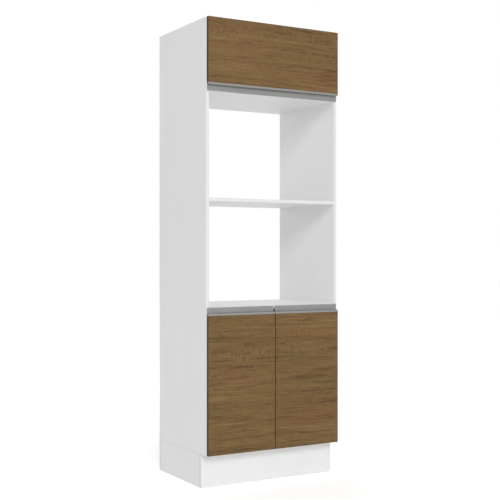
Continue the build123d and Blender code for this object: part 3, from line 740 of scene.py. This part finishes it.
def groups(elements: Iterable, beside: Callable) -> list[list]:
    """Sort the elements of a mesh into connected groups.

    Args:
        elements: Vertices or edges.
        beside: Function that gives the elements that touch one.

    Returns:
        The groups, in the order of the mesh.
    """
    left = dict.fromkeys(elements)
    found = []
    while left:
        group = [next(iter(left))]
        del left[group[0]]
        # The group grows while it is walked through
        for element in group:
            near = [other for other in dict.fromkeys(beside(element)) if other in left]
            for other in near:
                del left[other]
            group += near
        found.append(group)
    return found


@dataclass(frozen=True)
class Eased:
    """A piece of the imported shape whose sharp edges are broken.

    A run of edges stays sharp where its shortest edge isn't longer than so many widths as the
    finest says.
    """

    node: str
    slot: str
    width: float = 0.18 * MM
    finest: float = 2.0

    def build(self, material: bpy.types.Material) -> None:
        """Make the piece from its node and let it replace the node.

        Args:
            material: Its finish.
        """
        copy = merged(self.node)
        bmesh.ops.dissolve_limit(copy, angle_limit=FLAT_ANGLE, verts=copy.verts, edges=copy.edges)
        bmesh.ops.bevel(copy, geom=self.broken(copy), offset=self.width, offset_type="OFFSET", segments=1,
                        affect="EDGES", clamp_overlap=True)
        bmesh.ops.remove_doubles(copy, verts=copy.verts, dist=MERGE_DISTANCE)
        shape = bpy.data.meshes.new(f"{self.node}_eased")
        copy.to_mesh(shape)
        copy.free()
        shape.set_sharp_from_angle(angle=SMOOTH_ANGLE)
        shape.materials.append(material)
        adopt(shape, self.slot, self.node)

    def broken(self, copy: bmesh.types.BMesh) -> list[bmesh.types.BMEdge]:
        """Choose the outer edges to break, leaving out runs too finely divided for the width.

        Args:
            copy: The piece's mesh.

        Returns:
            The chosen edges.
        """
        sharp = [edge for edge in copy.edges if edge.is_convex and edge.calc_face_angle(0.0) > SMOOTH_ANGLE]
        runs = groups(sharp, lambda edge: [other for end in edge.verts for other in end.link_edges])
        return [edge for run in runs for edge in run
                if min(part.calc_length() for part in run) > self.finest * self.width]


@dataclass(frozen=True)
class Seat:
    """Where one fastener sits: the middle of its head, its direction, length and radius."""

    head: Vector
    heading: Vector
    length: float
    radius: float


def islands(node: str) -> list[list[Vector]]:
    """Return the points of each separate solid of a node.

    Args:
        node: The node's name.

    Returns:
        A list of points for each solid.
    """
    copy = merged(node)
    solids = groups(copy.verts, lambda vertex: [edge.other_vert(vertex) for edge in vertex.link_edges])
    points = [[vertex.co.copy() for vertex in solid] for solid in solids]
    copy.free()
    return points


def seat_of(points: list[Vector], heading: Vector | None, rim: float = 0.97) -> Seat:
    """Work out how a turned piece sits.

    Its axis is the one whose extent stands apart from the other two, and its head is where it
    is widest.

    Args:
        points: The points of its solid.
        heading: The way from its tip to its head, where the shape doesn't tell.
        rim: Share of the widest reach from which a point is on the head's rim.

    Returns:
        Its seat.
    """
    low = Vector(min(p[i] for p in points) for i in range(3))
    high = Vector(max(p[i] for p in points) for i in range(3))
    middle, extent = (low + high) / 2, high - low
    if heading is None:
        axis = min(range(3), key=lambda i: abs(extent[i - 1] - extent[i - 2]))
        out = [p - middle for p in points]
        reaches = [math.hypot(p[axis - 1], p[axis - 2]) for p in out]
        least = rim * max(reaches)
        widest = [p[axis] for p, reach in zip(out, reaches) if reach > least]
        heading = Vector((0.0, 0.0, 0.0))
        heading[axis] = 1.0 if sum(widest) >= 0 else -1.0
    axis = max(range(3), key=lambda i: abs(heading[i]))
    radius = max(extent[axis - 1], extent[axis - 2]) / 2
    return Seat(middle + heading * extent[axis] / 2, heading, extent[axis], radius)


class Shape(Tree):
    """A geometry node tree that turns a profile and repeats it on points."""

    # How a thread rises from its root to its crest, and where a shank's topmost ring begins
    flank = Rise(0.45, 1.0)
    topmost = 0.999

    def __init__(self, name: str, segments: int) -> None:
        """Start a tree.

        Args:
            name: The tree's name.
            segments: Faces round the turned shape.
        """
        super().__init__(bpy.data.node_groups.new(name, "GeometryNodeTree"))
        self.segments = segments
        self.sizes: dict[str, float] = {}
        interface = self.node_tree.interface
        interface.new_socket("Places", in_out="INPUT", socket_type="NodeSocketGeometry")
        interface.new_socket("Pieces", in_out="OUTPUT", socket_type="NodeSocketGeometry")
        self.entry = self.add("NodeGroupInput")

    def size(self, name: str, value: float) -> Signal:
        """Add a named size as an input of the tree.

        Args:
            name: The size's name.
            value: Its value in metres.

        Returns:
            The size.
        """
        item = self.node_tree.interface.new_socket(name, in_out="INPUT", socket_type="NodeSocketFloat")
        self.sizes[item.identifier] = value
        return Signal(self, self.entry.outputs[name])

    def pick(self, row: Signal, values: list[Value]) -> Signal:
        """Return the value that belongs to a row.

        Args:
            row: The row's number.
            values: One value for each row.

        Returns:
            The chosen value.
        """
        index = self.node("FunctionNodeFloatToInt", {0: row}, rounding_mode="ROUND")
        switch = self.add("GeometryNodeIndexSwitch", data_type="FLOAT")
        while len(switch.index_switch_items) < len(values):
            switch.index_switch_items.new()
        self.fill(switch, {0: index, **{i + 1: value for i, value in enumerate(values)}})
        return Signal(self, switch.outputs[0])

    def wrap(self, rows: int, radius: Callable[[Signal, Signal], Signal],
             height: Callable[[Signal], Signal]) -> Signal:
        """Wrap a grid round the Z axis.

        Args:
            rows: Number of rings, from the bottom up.
            radius: Function of the turn and the share of the height that gives the radius.
            height: Function of the share of the height that gives the height.

        Returns:
            A closed mesh.
        """
        grid = self.node("GeometryNodeMeshGrid", {"Size X": 1.0, "Size Y": 1.0,
                                                  "Vertices X": self.segments + 1, "Vertices Y": rows})
        across, up, _ = self.node("GeometryNodeInputPosition").axes()
        turn, share = across + 0.5, up + 0.5
        angle, reach = turn * math.tau, radius(turn, share)
        place = self.vector(reach * angle.cosine(), reach * angle.sine(), height(share))
        moved = self.node("GeometryNodeSetPosition", {"Geometry": grid, "Position": place})
        return self.node("GeometryNodeMergeByDistance", {"Geometry": moved, "Distance": MERGE_DISTANCE})

    def turned(self, profile: list[tuple[Value, Value]]) -> Signal:
        """Turn a profile round the Z axis.

        Args:
            profile: Radius and height of each ring, from the bottom up.

        Returns:
            A closed mesh.
        """
        last = len(profile) - 1
        radii, heights = zip(*profile)
        return self.wrap(len(profile), lambda turn, share: self.pick(share * last, radii),
                         lambda share: self.pick(share * last, heights))

    def threaded(self, root: Value, crest: Value, pitch: float, bottom: Value, top: Value, tip: float,
                 turns: int, rings: int = 6) -> Signal:
        """Make a threaded shank with a pointed tip.

        Args:
            root: Radius between the threads.
            crest: Radius over the threads.
            pitch: Height of one turn.
            bottom: Height of the tip.
            top: Height of the other end.
            tip: Share of the shank that tapers.
            turns: Number of turns.
            rings: Number of rings to a turn.

        Returns:
            A closed mesh.
        """
        def radius(turn: Signal, share: Signal) -> Signal:
            """Work out the radius of the thread.

            Args:
                turn: Share of a full turn.
                share: Share of the height.

            Returns:
                The radius there.
            """
            phase = (bottom + share * (top - bottom)) / pitch - turn
            ridge = abs(phase.fraction() - 0.5) * 2.0
            taper = (share / tip).smaller(1.0)
            # The topmost ring closes to a point
            return (root + ridge.ramp(self.flank) * (crest - root)) * taper * (share < self.topmost)

        return self.wrap(turns * rings, radius, lambda share: bottom + share * (top - bottom))

    def block(self, size: tuple, middle: tuple = (0.0, 0.0, 0.0)) -> Signal:
        """Return a rectangular block of a size about a middle."""
        cube = self.node("GeometryNodeMeshCube", {"Size": self.vector(*size)})
        return self.node("GeometryNodeTransform", {"Geometry": cube, "Translation": self.vector(*middle)})

    def cut(self, shape: Signal, *tools: Signal) -> Signal:
        """Return a shape with other shapes cut away."""
        return self.node("GeometryNodeMeshBoolean", {0: shape, 1: list(tools)}, operation="DIFFERENCE",
                         solver="EXACT")

    def crossed(self, shape: Signal, length: Value, width: Value, height: Value, *tools: Signal) -> Signal:
        """Cut a cross about the origin, and any other shapes, out of a shape."""
        arms = [self.block(size) for size in ((length, width, height), (width, length, height))]
        return self.cut(shape, *tools, *arms)

    def repeat(self, shape: Signal, material: bpy.types.Material, spin: float, seed: int) -> None:
        """Put the shape on every point and end the tree.

        Args:
            shape: The finished master.
            material: Its finish.
            spin: Most that a piece is turned on its own axis.
            seed: Seed of those turns.
        """
        heading, toward = (self.node("GeometryNodeInputNamedAttribute", {"Name": name},
                                     data_type="FLOAT_VECTOR") for name in ("heading", "toward"))
        upright = self.node("FunctionNodeAlignRotationToVector", {"Vector": heading}, axis="Z")
        facing = self.node("FunctionNodeAlignRotationToVector", {"Rotation": upright, "Vector": toward},
                           axis="X", pivot_axis="Z")
        angle = self.node("FunctionNodeRandomValue", {2: 0.0, 3: spin, "Seed": seed}, output=1,
                          data_type="FLOAT")
        turn = self.node("FunctionNodeAxisAngleToRotation", {"Axis": (0.0, 0.0, 1.0), "Angle": angle})
        rotation = self.node("FunctionNodeRotateRotation", {0: facing, 1: turn}, rotation_space="LOCAL")
        sharp = self.node("GeometryNodeInputMeshEdgeAngle") > SMOOTH_ANGLE
        smooth = self.node("GeometryNodeSetShadeSmooth",
                           {"Geometry": shape, "Selection": sharp, "Shade Smooth": False}, domain="EDGE")
        places = Signal(self, self.entry.outputs["Places"])
        spread = self.node("GeometryNodeInstanceOnPoints",
                           {"Points": places, "Instance": smooth, "Rotation": rotation})
        real = self.node("GeometryNodeRealizeInstances", {"Geometry": spread})
        dressed = self.node("GeometryNodeSetMaterial", {"Geometry": real, "Material": material})
        self.fill(self.add("NodeGroupOutput"), {"Pieces": dressed})


def scaled(shares: Shares, radius: Signal, depth: Signal) -> list[tuple[Signal, Signal]]:
    """Return points of a profile, with its face at height zero and the rest below."""
    return [(radius * reach, depth * -down) for reach, down in shares]


@dataclass(frozen=True)
class Turned:
    """A set of alike turned pieces that replaces one node."""

    node: str
    slot: str
    segments: int = 20
    spin: float = math.tau
    seed: int = 7

    def heading(self) -> Vector | None:
        """Return the way to the head, where the shape doesn't tell."""
        return None

    def toward(self, seat: Seat) -> Vector:
        """Return the way that the master's local X faces."""
        return Vector((seat.heading.y, seat.heading.z, seat.heading.x))

    def master(self, shape: Shape, length: Signal, radius: Signal) -> Signal:
        """Return one piece, with its head at the origin and its tip below."""
        raise NotImplementedError

    def build(self, material: bpy.types.Material) -> None:
        """Make the whole set and let it replace its node.

        Args:
            material: Its finish.
        """
        seats = [seat_of(points, self.heading()) for points in islands(self.node)]
        points = bpy.data.meshes.new(f"{self.node}_points")
        points.from_pydata([seat.head for seat in seats], [], [])
        ways = {"heading": [seat.heading for seat in seats],
                "toward": [self.toward(seat) for seat in seats]}
        for key, vectors in ways.items():
            layer = points.attributes.new(key, "FLOAT_VECTOR", "POINT")
            layer.data.foreach_set("vector", [value for vector in vectors for value in vector])
        shape = Shape(f"{self.node}_tree", self.segments)
        length = shape.size("Length", seats[0].length)
        radius = shape.size("Radius", seats[0].radius)
        shape.repeat(self.master(shape, length, radius), material, self.spin, self.seed)
        rough = placed(points.name, points)
        modifier = rough.modifiers.new("pieces", "NODES")
        modifier.node_group = shape.node_tree
        for identifier, value in shape.sizes.items():
            modifier[identifier] = value
        graph = bpy.context.evaluated_depsgraph_get()
        finished = bpy.data.meshes.new_from_object(rough.evaluated_get(graph))
        bpy.data.objects.remove(rough)
        finished.name = f"{self.node}_set"
        adopt(finished, self.slot, self.node)


class Head(Enum):
    """The form of a screw's head."""

    PAN = "pan"
    COUNTERSUNK = "countersunk"


@dataclass(frozen=True)
class Screw(Turned):
    """Cross-recessed screw with a threaded shank."""

    slot: str = "fixing_steel"
    head: Head = Head.PAN
    shank: float = 1.8 * MM
    root: float = 0.72
    head_thickness: float = 1.2 * MM
    pitch: float = 1.3 * MM
    turns: int = 9
    tip: float = 0.22
    recess_length: float = 3.4 * MM
    recess_width: float = 0.8 * MM
    recess_depth: float = 0.8 * MM
    pan: Shares = ((0.0, 1.0), (1.0, 1.0), (1.0, 0.55), (0.93, 0.22), (0.74, 0.03), (0.5, 0.0), (0.0, 0.0))
    rim: float = 0.05 * MM
    face: float = 0.985
    sunk: float = 0.9

    def master(self, shape: Shape, length: Signal, radius: Signal) -> Signal:
        """Make one screw.

        Args:
            shape: The tree that makes it.
            length: Its length.
            radius: Radius of its widest part.

        Returns:
            The screw, with its head at the origin and its tip below.
        """
        crest = shape.size("Shank Radius", self.shank)
        recess = [shape.size("Recess Length", self.recess_length),
                  shape.size("Recess Width", self.recess_width),
                  shape.size("Recess Depth", self.recess_depth) * 2.0]
        if self.head is Head.PAN:
            thick = shape.size("Head Thickness", self.head_thickness)
            outline = scaled(self.pan, radius, thick)
            shank_top = thick * -self.sunk
        else:
            outline = [(0.0, crest - radius), (crest, crest - radius), (radius, -self.rim),
                       (radius * self.face, 0.0), (0.0, 0.0)]
            shank_top = (crest - radius) * self.sunk
        head = shape.crossed(shape.turned(outline), *recess)
        shank = shape.threaded(crest * self.root, crest, self.pitch, -length, shank_top, self.tip,
                               self.turns)
        return shape.node("GeometryNodeJoinGeometry", {0: [head, shank]})


@dataclass(frozen=True)
class Nail(Turned):
    """Flat-headed wire nail with grip rings under its head."""

    segments: int = 12
    shank: float = 0.8 * MM
    head_thickness: float = 0.6 * MM
    ring_step: float = 0.35 * MM
    ring_depth: float = 0.14
    rings: int = 6
    point: Shares = ((0.0, 1.0), (0.9, 0.9), (1.0, 0.89))
    head: Shares = ((0.96, 1.0), (1.0, 0.7), (1.0, 0.25), (0.94, 0.0), (0.0, 0.0))

    def master(self, shape: Shape, length: Signal, radius: Signal) -> Signal:
        """Make one nail.

        Args:
            shape: The tree that makes it.
            length: Its length.
            radius: Radius of its widest part.

        Returns:
            The nail, with its head at the origin and its tip below.
        """
        thick = shape.size("Head Thickness", self.head_thickness)
        shank = shape.size("Shank Radius", self.shank)
        grips = [(shank * (1.0 - self.ring_depth * (i % 2)), -thick - self.ring_step * i)
                 for i in range(self.rings, 0, -1)]
        return shape.turned([*scaled(self.point, shank, length), *grips, (shank, -thick),
                             *scaled(self.head, radius, thick)])


@dataclass(frozen=True)
class Dowel(Turned):
    """Beech dowel with flutes along it and a chamfer at each end."""

    segments: int = 48
    chamfer: float = 0.6 * MM
    flute: float = 0.25 * MM
    flutes: int = 16
    fluted_from: float = 0.95

    def master(self, shape: Shape, length: Signal, radius: Signal) -> Signal:
        """Make one dowel.

        Args:
            shape: The tree that makes it.
            length: Its length.
            radius: Radius of its widest part.

        Returns:
            The dowel, with its head at the origin and its tip below.
        """
        chamfer, flute = shape.size("Chamfer", self.chamfer), shape.size("Flute Depth", self.flute)
        heights = [-length, -length, chamfer - length, -chamfer, 0.0, 0.0]
        reaches = [0.0, radius - chamfer, radius, radius, radius - chamfer, 0.0]
        last = len(heights) - 1

        def fluted(turn: Signal, share: Signal) -> Signal:
            """Take the flutes away between the chamfers.

            Args:
                turn: Share of a full turn.
                share: Share of the height.

            Returns:
                The radius there.
            """
            reach = shape.pick(share * last, reaches)
            wave = (turn * (math.tau * self.flutes)).cosine()
            return reach - (wave + 1.0) * 0.5 * flute * (reach > radius * self.fluted_from)

        return shape.wrap(len(heights), fluted, lambda share: shape.pick(share * last, heights))


@dataclass(frozen=True)
class CamBolt(Turned):
    """Steel bolt that a cam draws in: a head, a plain neck, a collar and a thread."""

    shank: float = 2.9 * MM
    neck: float = 0.72
    root: float = 0.78
    head_length: float = 5.0 * MM
    thread_length: float = 10.6 * MM
    pitch: float = 1.5 * MM
    turns: int = 8
    tip: float = 0.12
    overlap: float = 0.2 * MM
    collar_edge: float = 1.2 * MM
    collar_top: float = 1.5 * MM
    waist: float = 0.86
    # Where the waist ends, the neck begins and ends and the head is widest, in lengths of the head
    levels: tuple[float, ...] = (1.5, 1.3, 0.7, 0.55)
    rim: float = 0.4 * MM
    face: float = 0.8

    def master(self, shape: Shape, length: Signal, radius: Signal) -> Signal:
        """Make one bolt.

        Args:
            shape: The tree that makes it.
            length: Its length.
            radius: Radius of its widest part.

        Returns:
            The bolt, with its head at the origin and its tip below.
        """
        shank, head = shape.size("Shank Radius", self.shank), shape.size("Head Length", self.head_length)
        collar = shape.size("Thread Length", self.thread_length) - length
        waist, neck = shank * self.waist, shank * self.neck
        levels = [head * -level for level in self.levels]
        body = [(0.0, collar - self.overlap), (shank, collar - self.overlap),
                (shank, collar + self.collar_edge), (waist, collar + self.collar_top),
                *zip((waist, neck, neck, radius), levels), (radius, -self.rim),
                (radius * self.face, 0.0), (0.0, 0.0)]
        thread = shape.threaded(shank * self.root, shank, self.pitch, -length, collar, self.tip, self.turns)
        return shape.node("GeometryNodeJoinGeometry", {0: [shape.turned(body), thread]})


@dataclass(frozen=True)
class Cam(Turned):
    """Cast cam disc, open towards the bolt, with chamfered rims and a cross drive."""

    segments: int = 36
    spin: float = 0.0
    bore: float = 3.6 * MM
    mouth: float = 1.9
    mouth_place: float = 0.6
    drive: float = 5.0 * MM
    drive_width: float = 1.1 * MM
    drive_height: float = 4.0 * MM
    rim: float = 0.5 * MM

    def heading(self) -> Vector | None:
        """Return the way down, because the cams are let into undersides."""
        return Vector((0.0, 0.0, -1.0))

    def toward(self, seat: Seat) -> Vector:
        """Return the way to the nearer side panel."""
        return Vector((math.copysign(1.0, seat.head.x), 0.0, 0.0))

    def master(self, shape: Shape, length: Signal, radius: Signal) -> Signal:
        """Make one cam.

        Args:
            shape: The tree that makes it.
            length: Its length.
            radius: Radius of its widest part.

        Returns:
            The cam, with its head at the origin and its tip below.
        """
        rim, bore = shape.size("Rim", self.rim), shape.size("Bore Radius", self.bore)
        drive = shape.size("Drive Length", self.drive)
        disc = shape.turned([(0.0, -length), (radius - rim, -length), (radius, rim - length),
                             (radius, -rim), (radius - rim, 0.0), (0.0, 0.0)])
        mouth = bore * self.mouth
        opening = shape.block((radius, mouth, mouth), (radius * self.mouth_place, 0.0, length * -0.5))
        return shape.crossed(disc, drive, self.drive_width, self.drive_height, opening)


@dataclass(frozen=True)
class Cap(Turned):
    """Thin cap with a rounded rim and a spigot that plugs into the cam's drive."""

    segments: int = 36
    spigot: float = 2.0 * MM
    thickness: float = 0.8 * MM
    plug: Shares = ((0.0, 1.0), (0.8, 1.0), (1.0, 0.86))
    # Distance in from the edge, and share of the thickness, of each ring round the rim
    rim: Shares = ((0.1 * MM, 1.0), (0.0, 0.8), (0.12 * MM, 0.35), (0.5 * MM, 0.06), (1.2 * MM, 0.0))

    def master(self, shape: Shape, length: Signal, radius: Signal) -> Signal:
        """Make one cap.

        Args:
            shape: The tree that makes it.
            length: Its length.
            radius: Radius of its widest part.

        Returns:
            The cap, with its head at the origin and its tip below.
        """
        spigot, thick = shape.size("Spigot Radius", self.spigot), shape.size("Thickness", self.thickness)
        rim = [(radius - inset, thick * -depth) for inset, depth in self.rim]
        return shape.turned([*scaled(self.plug, spigot, length), (spigot, -thick), *rim, (0.0, 0.0)])


@dataclass(frozen=True)
class Bumper(Turned):
    """Soft domed bumper, whose base is its head face."""

    segments: int = 28
    steps: int = 6
    base: float = 0.12

    def master(self, shape: Shape, length: Signal, radius: Signal) -> Signal:
        """Make one bumper.

        Args:
            shape: The tree that makes it.
            length: Its length.
            radius: Radius of its widest part.

        Returns:
            The bumper, with its head at the origin and its tip below.
        """
        angles = [i / self.steps * math.pi / 2 for i in range(self.steps + 1)]
        dome = [(radius * math.sin(angle), length * -(self.base + (1.0 - self.base) * math.cos(angle)))
                for angle in angles]
        return shape.turned([*dome, (radius, 0.0), (0.0, 0.0)])


@dataclass(frozen=True)
class Carcass:
    """Boards, backs and plinth."""

    sides: tuple[str, ...] = ("side_panel_left", "side_panel_right")
    levels: tuple[str, ...] = ("bottom_panel", "niche_floor_panel", "oven_shelf", "niche_roof_panel",
                               "top_panel", "inner_shelf")
    plinth_sides: tuple[str, ...] = ("plinth_side_left", "plinth_side_right")
    plinth_faces: tuple[str, ...] = ("plinth_front", "plinth_back")
    backs: tuple[str, ...] = ("back_panel_upper", "back_panel_lower")
    edge: float = 0.5 * MM

    def build(self, finishes: Finishes) -> None:
        """Dress the boards and make what joins them.

        Args:
            finishes: The cabinet's materials.
        """
        for nodes, across in ((self.sides, Across.X), (self.levels, Across.Z)):
            for node in nodes:
                dress(node, finishes.board(node, across))
        for nodes, across in ((self.plinth_sides, Across.X), (self.plinth_faces, Across.Y)):
            for node in nodes:
                Eased(node, "carcass_board", self.edge).build(finishes.board(node, across))
        for node in self.backs:
            dress(node, finishes.hardboard)
        dress("plinth_corner_blocks", finishes.softwood)
        Nail("back_nails", "fixing_steel").build(finishes.plated)
        Screw("plinth_screws", head=Head.COUNTERSUNK, shank=2.0 * MM, pitch=2.0 * MM,
              turns=18, tip=0.14).build(finishes.plated)


@dataclass(frozen=True)
class BoardJoints:
    """Cams, bolts, dowels and caps in the ends of the cross boards."""

    def build(self, finishes: Finishes) -> None:
        """Make the joints.

        Args:
            finishes: The cabinet's materials.
        """
        Cam("cam_discs", "zinc").build(finishes.zinc)
        CamBolt("cam_bolts", "fixing_steel").build(finishes.plated)
        Dowel("dowels", "softwood").build(finishes.beech)
        Cap("cam_caps", "white_plastic").build(finishes.white_plastic)


@dataclass(frozen=True)
class Fittings:
    """What is screwed to the carcass: shelf pins, brackets, bumpers, hinge arms and plates."""

    bracket_edge: float = 0.3 * MM

    def build(self, finishes: Finishes) -> None:
        """Make the fittings.

        Args:
            finishes: The cabinet's materials.
        """
        Eased("shelf_pins", "fixing_steel").build(finishes.nickel)
        Eased("wall_brackets", "fixing_steel", self.bracket_edge).build(finishes.plated)
        Screw("wall_bracket_screws").build(finishes.plated)
        Bumper("door_bumpers", "clear_rubber").build(finishes.clear_rubber)
        Eased("hinge_arms", "hinge_steel").build(finishes.nickel)
        Eased("hinge_plates", "hinge_steel").build(finishes.nickel)
        Screw("hinge_plate_screws").build(finishes.plated)
        Screw("hinge_arm_screws", shank=1.85 * MM, pitch=0.7 * MM, turns=6,
              tip=0.1).build(finishes.plated)


@dataclass(frozen=True)
class Front:
    """A door or the flap, with its handle and its half of the hinges."""

    name: str
    handle_edge: float = 0.2 * MM
    pin_edge: float = 0.1 * MM

    def build(self, finishes: Finishes) -> None:
        """Dress the panel and handle and make the fittings.

        Args:
            finishes: The cabinet's materials.
        """
        dress(f"{self.name}_panel", finishes.wood)
        Eased(f"{self.name}_handle", "handle_aluminium", self.handle_edge).build(finishes.aluminium)
        Screw(f"{self.name}_handle_screws", head=Head.COUNTERSUNK, shank=1.6 * MM,
              turns=14).build(finishes.plated)
        Eased(f"{self.name}_hinge_cups", "hinge_steel").build(finishes.nickel)
        Eased(f"{self.name}_hinge_pins", "hinge_steel", self.pin_edge).build(finishes.nickel)
        Screw(f"{self.name}_cup_screws").build(finishes.plated)


@dataclass(frozen=True)
class Stays:
    """The two stays that hold the flap up."""

    parts: tuple[str, ...] = ("stay_bases", "stay_washers", "stay_nuts", "flap_stay_ears",
                              "flap_ear_rivets", "stay_lever_left", "stay_lever_right",
                              "knee_rivet_left", "knee_rivet_right", "stay_link_left",
                              "stay_link_right")
    screws: tuple[str, ...] = ("stay_base_screws", "flap_ear_screws")
    edge: float = 0.2 * MM

    def build(self, finishes: Finishes) -> None:
        """Make the stays.

        Args:
            finishes: The cabinet's materials.
        """
        for node in self.parts:
            Eased(node, "stay_steel", self.edge).build(finishes.stay_steel)
        for node in self.screws:
            Screw(node).build(finishes.plated)


@dataclass(frozen=True)
class Lamp:
    """A square soft lamp."""

    name: str
    power: float
    size: float
    place: Triple
    target: Triple

    def build(self) -> None:
        """Hang the lamp and aim it."""
        data = bpy.data.lights.new(self.name, "AREA")
        data.energy = self.power
        data.size = self.size
        lamp = placed(self.name, data)
        lamp.location = self.place
        aim = Vector(self.target) - Vector(self.place)
        lamp.rotation_euler = aim.to_track_quat("-Z", "Y").to_euler()


@dataclass(frozen=True)
class Studio:
    """Camera, lamps, world and floor."""

    eye: Triple = (-2.3930, -4.1699, 1.0529)
    yaw: float = 29.961
    lens: float = 72.0
    shift_up: float = 0.00556
    sky: float = 0.54
    lamps: tuple[Lamp, ...] = (
        Lamp("key", 1050.0, 4.8, (-5.6, -14.4, 8.4), (0.0, 0.0, 1.2)),
        Lamp("fill", 14.0, 2.0, (-0.3, -4.6, 0.9), (0.0, 0.0, 1.0)),
        Lamp("back", 34.0, 0.9, (0.0, 4.7, 2.4), (0.0, 0.0, 1.1)),
    )
    floor_size: float = 60.0
    floor_colour: Colour = (250, 250, 250)
    floor_roughness: float = 0.9
    near_glow: float = 0.34
    far_glow: float = 0.44
    away: Rise = Rise(0.7, 3.0)

    def build(self) -> None:
        """Set up everything that isn't the object."""
        self.camera()
        for lamp in self.lamps:
            lamp.build()
        self.world()
        self.floor()
        bpy.context.scene.view_settings.view_transform = "Standard"

    def camera(self) -> None:
        """Stand the camera where the photograph was taken."""
        data = bpy.data.cameras.new("camera")
        data.lens = self.lens
        data.shift_y = self.shift_up
        camera = placed("camera", data)
        camera.location = self.eye
        camera.rotation_euler = (math.radians(90), 0.0, -math.radians(self.yaw))
        bpy.context.scene.camera = camera

    def seen(self, tree: Tree) -> Signal:
        """Return 1 on rays that show the background, straight, mirrored or through glass."""
        path = tree.node("ShaderNodeLightPath", output="Is Camera Ray")
        return path.larger(path.beside("Is Glossy Ray").larger(path.beside("Is Transmission Ray")))

    def world(self) -> None:
        """Light the scene evenly and show a white background."""
        world = bpy.data.worlds.new("studio")
        world.use_nodes = True
        bpy.context.scene.world = world
        tree = Tree(world.node_tree)
        strength = self.sky + self.seen(tree) * (1.0 - self.sky)
        background = world.node_tree.nodes["Background"]
        tree.fill(background, {"Color": (1.0, 1.0, 1.0, 1.0), "Strength": strength})

    def floor(self) -> None:
        """Lay a pale floor that keeps the cabinet's shadow."""
        surface = Surface("pale_floor")
        surface.fill(surface.shader, {"Base Color": linear(self.floor_colour),
                                      "Roughness": self.floor_roughness})
        x, y, _ = surface.position.axes()
        away = (x * x + y * y).root().ramp(self.away)
        strength = self.near_glow + away * (self.far_glow - self.near_glow)
        glow = surface.node("ShaderNodeEmission", {"Strength": self.seen(surface) * strength})
        base = Signal(surface, surface.shader.outputs[0])
        both = surface.node("ShaderNodeAddShader", {0: base, 1: glow})
        surface.fill(surface.node_tree.nodes["Material Output"], {"Surface": both})
        half = self.floor_size / 2
        mesh = bpy.data.meshes.new("floor")
        mesh.from_pydata([(-half, -half, 0), (half, -half, 0), (half, half, 0), (-half, half, 0)], [],
                         [(0, 1, 2, 3)])
        mesh.materials.append(surface.material)
        placed("floor", mesh)


def main() -> None:
    """Build the cabinet's looks piece by piece."""
    logging.basicConfig(level=logging.INFO, format="%(message)s")
    Studio().build()
    finishes = Finishes()
    parts = [Carcass(), BoardJoints(), Fittings(), Front("door_left"), Front("door_right"), Front("flap"),
             Stays()]
    for part in parts:
        part.build(finishes)
        log.info("%s done", type(part).__name__)


if __name__ == "__main__":
    main()
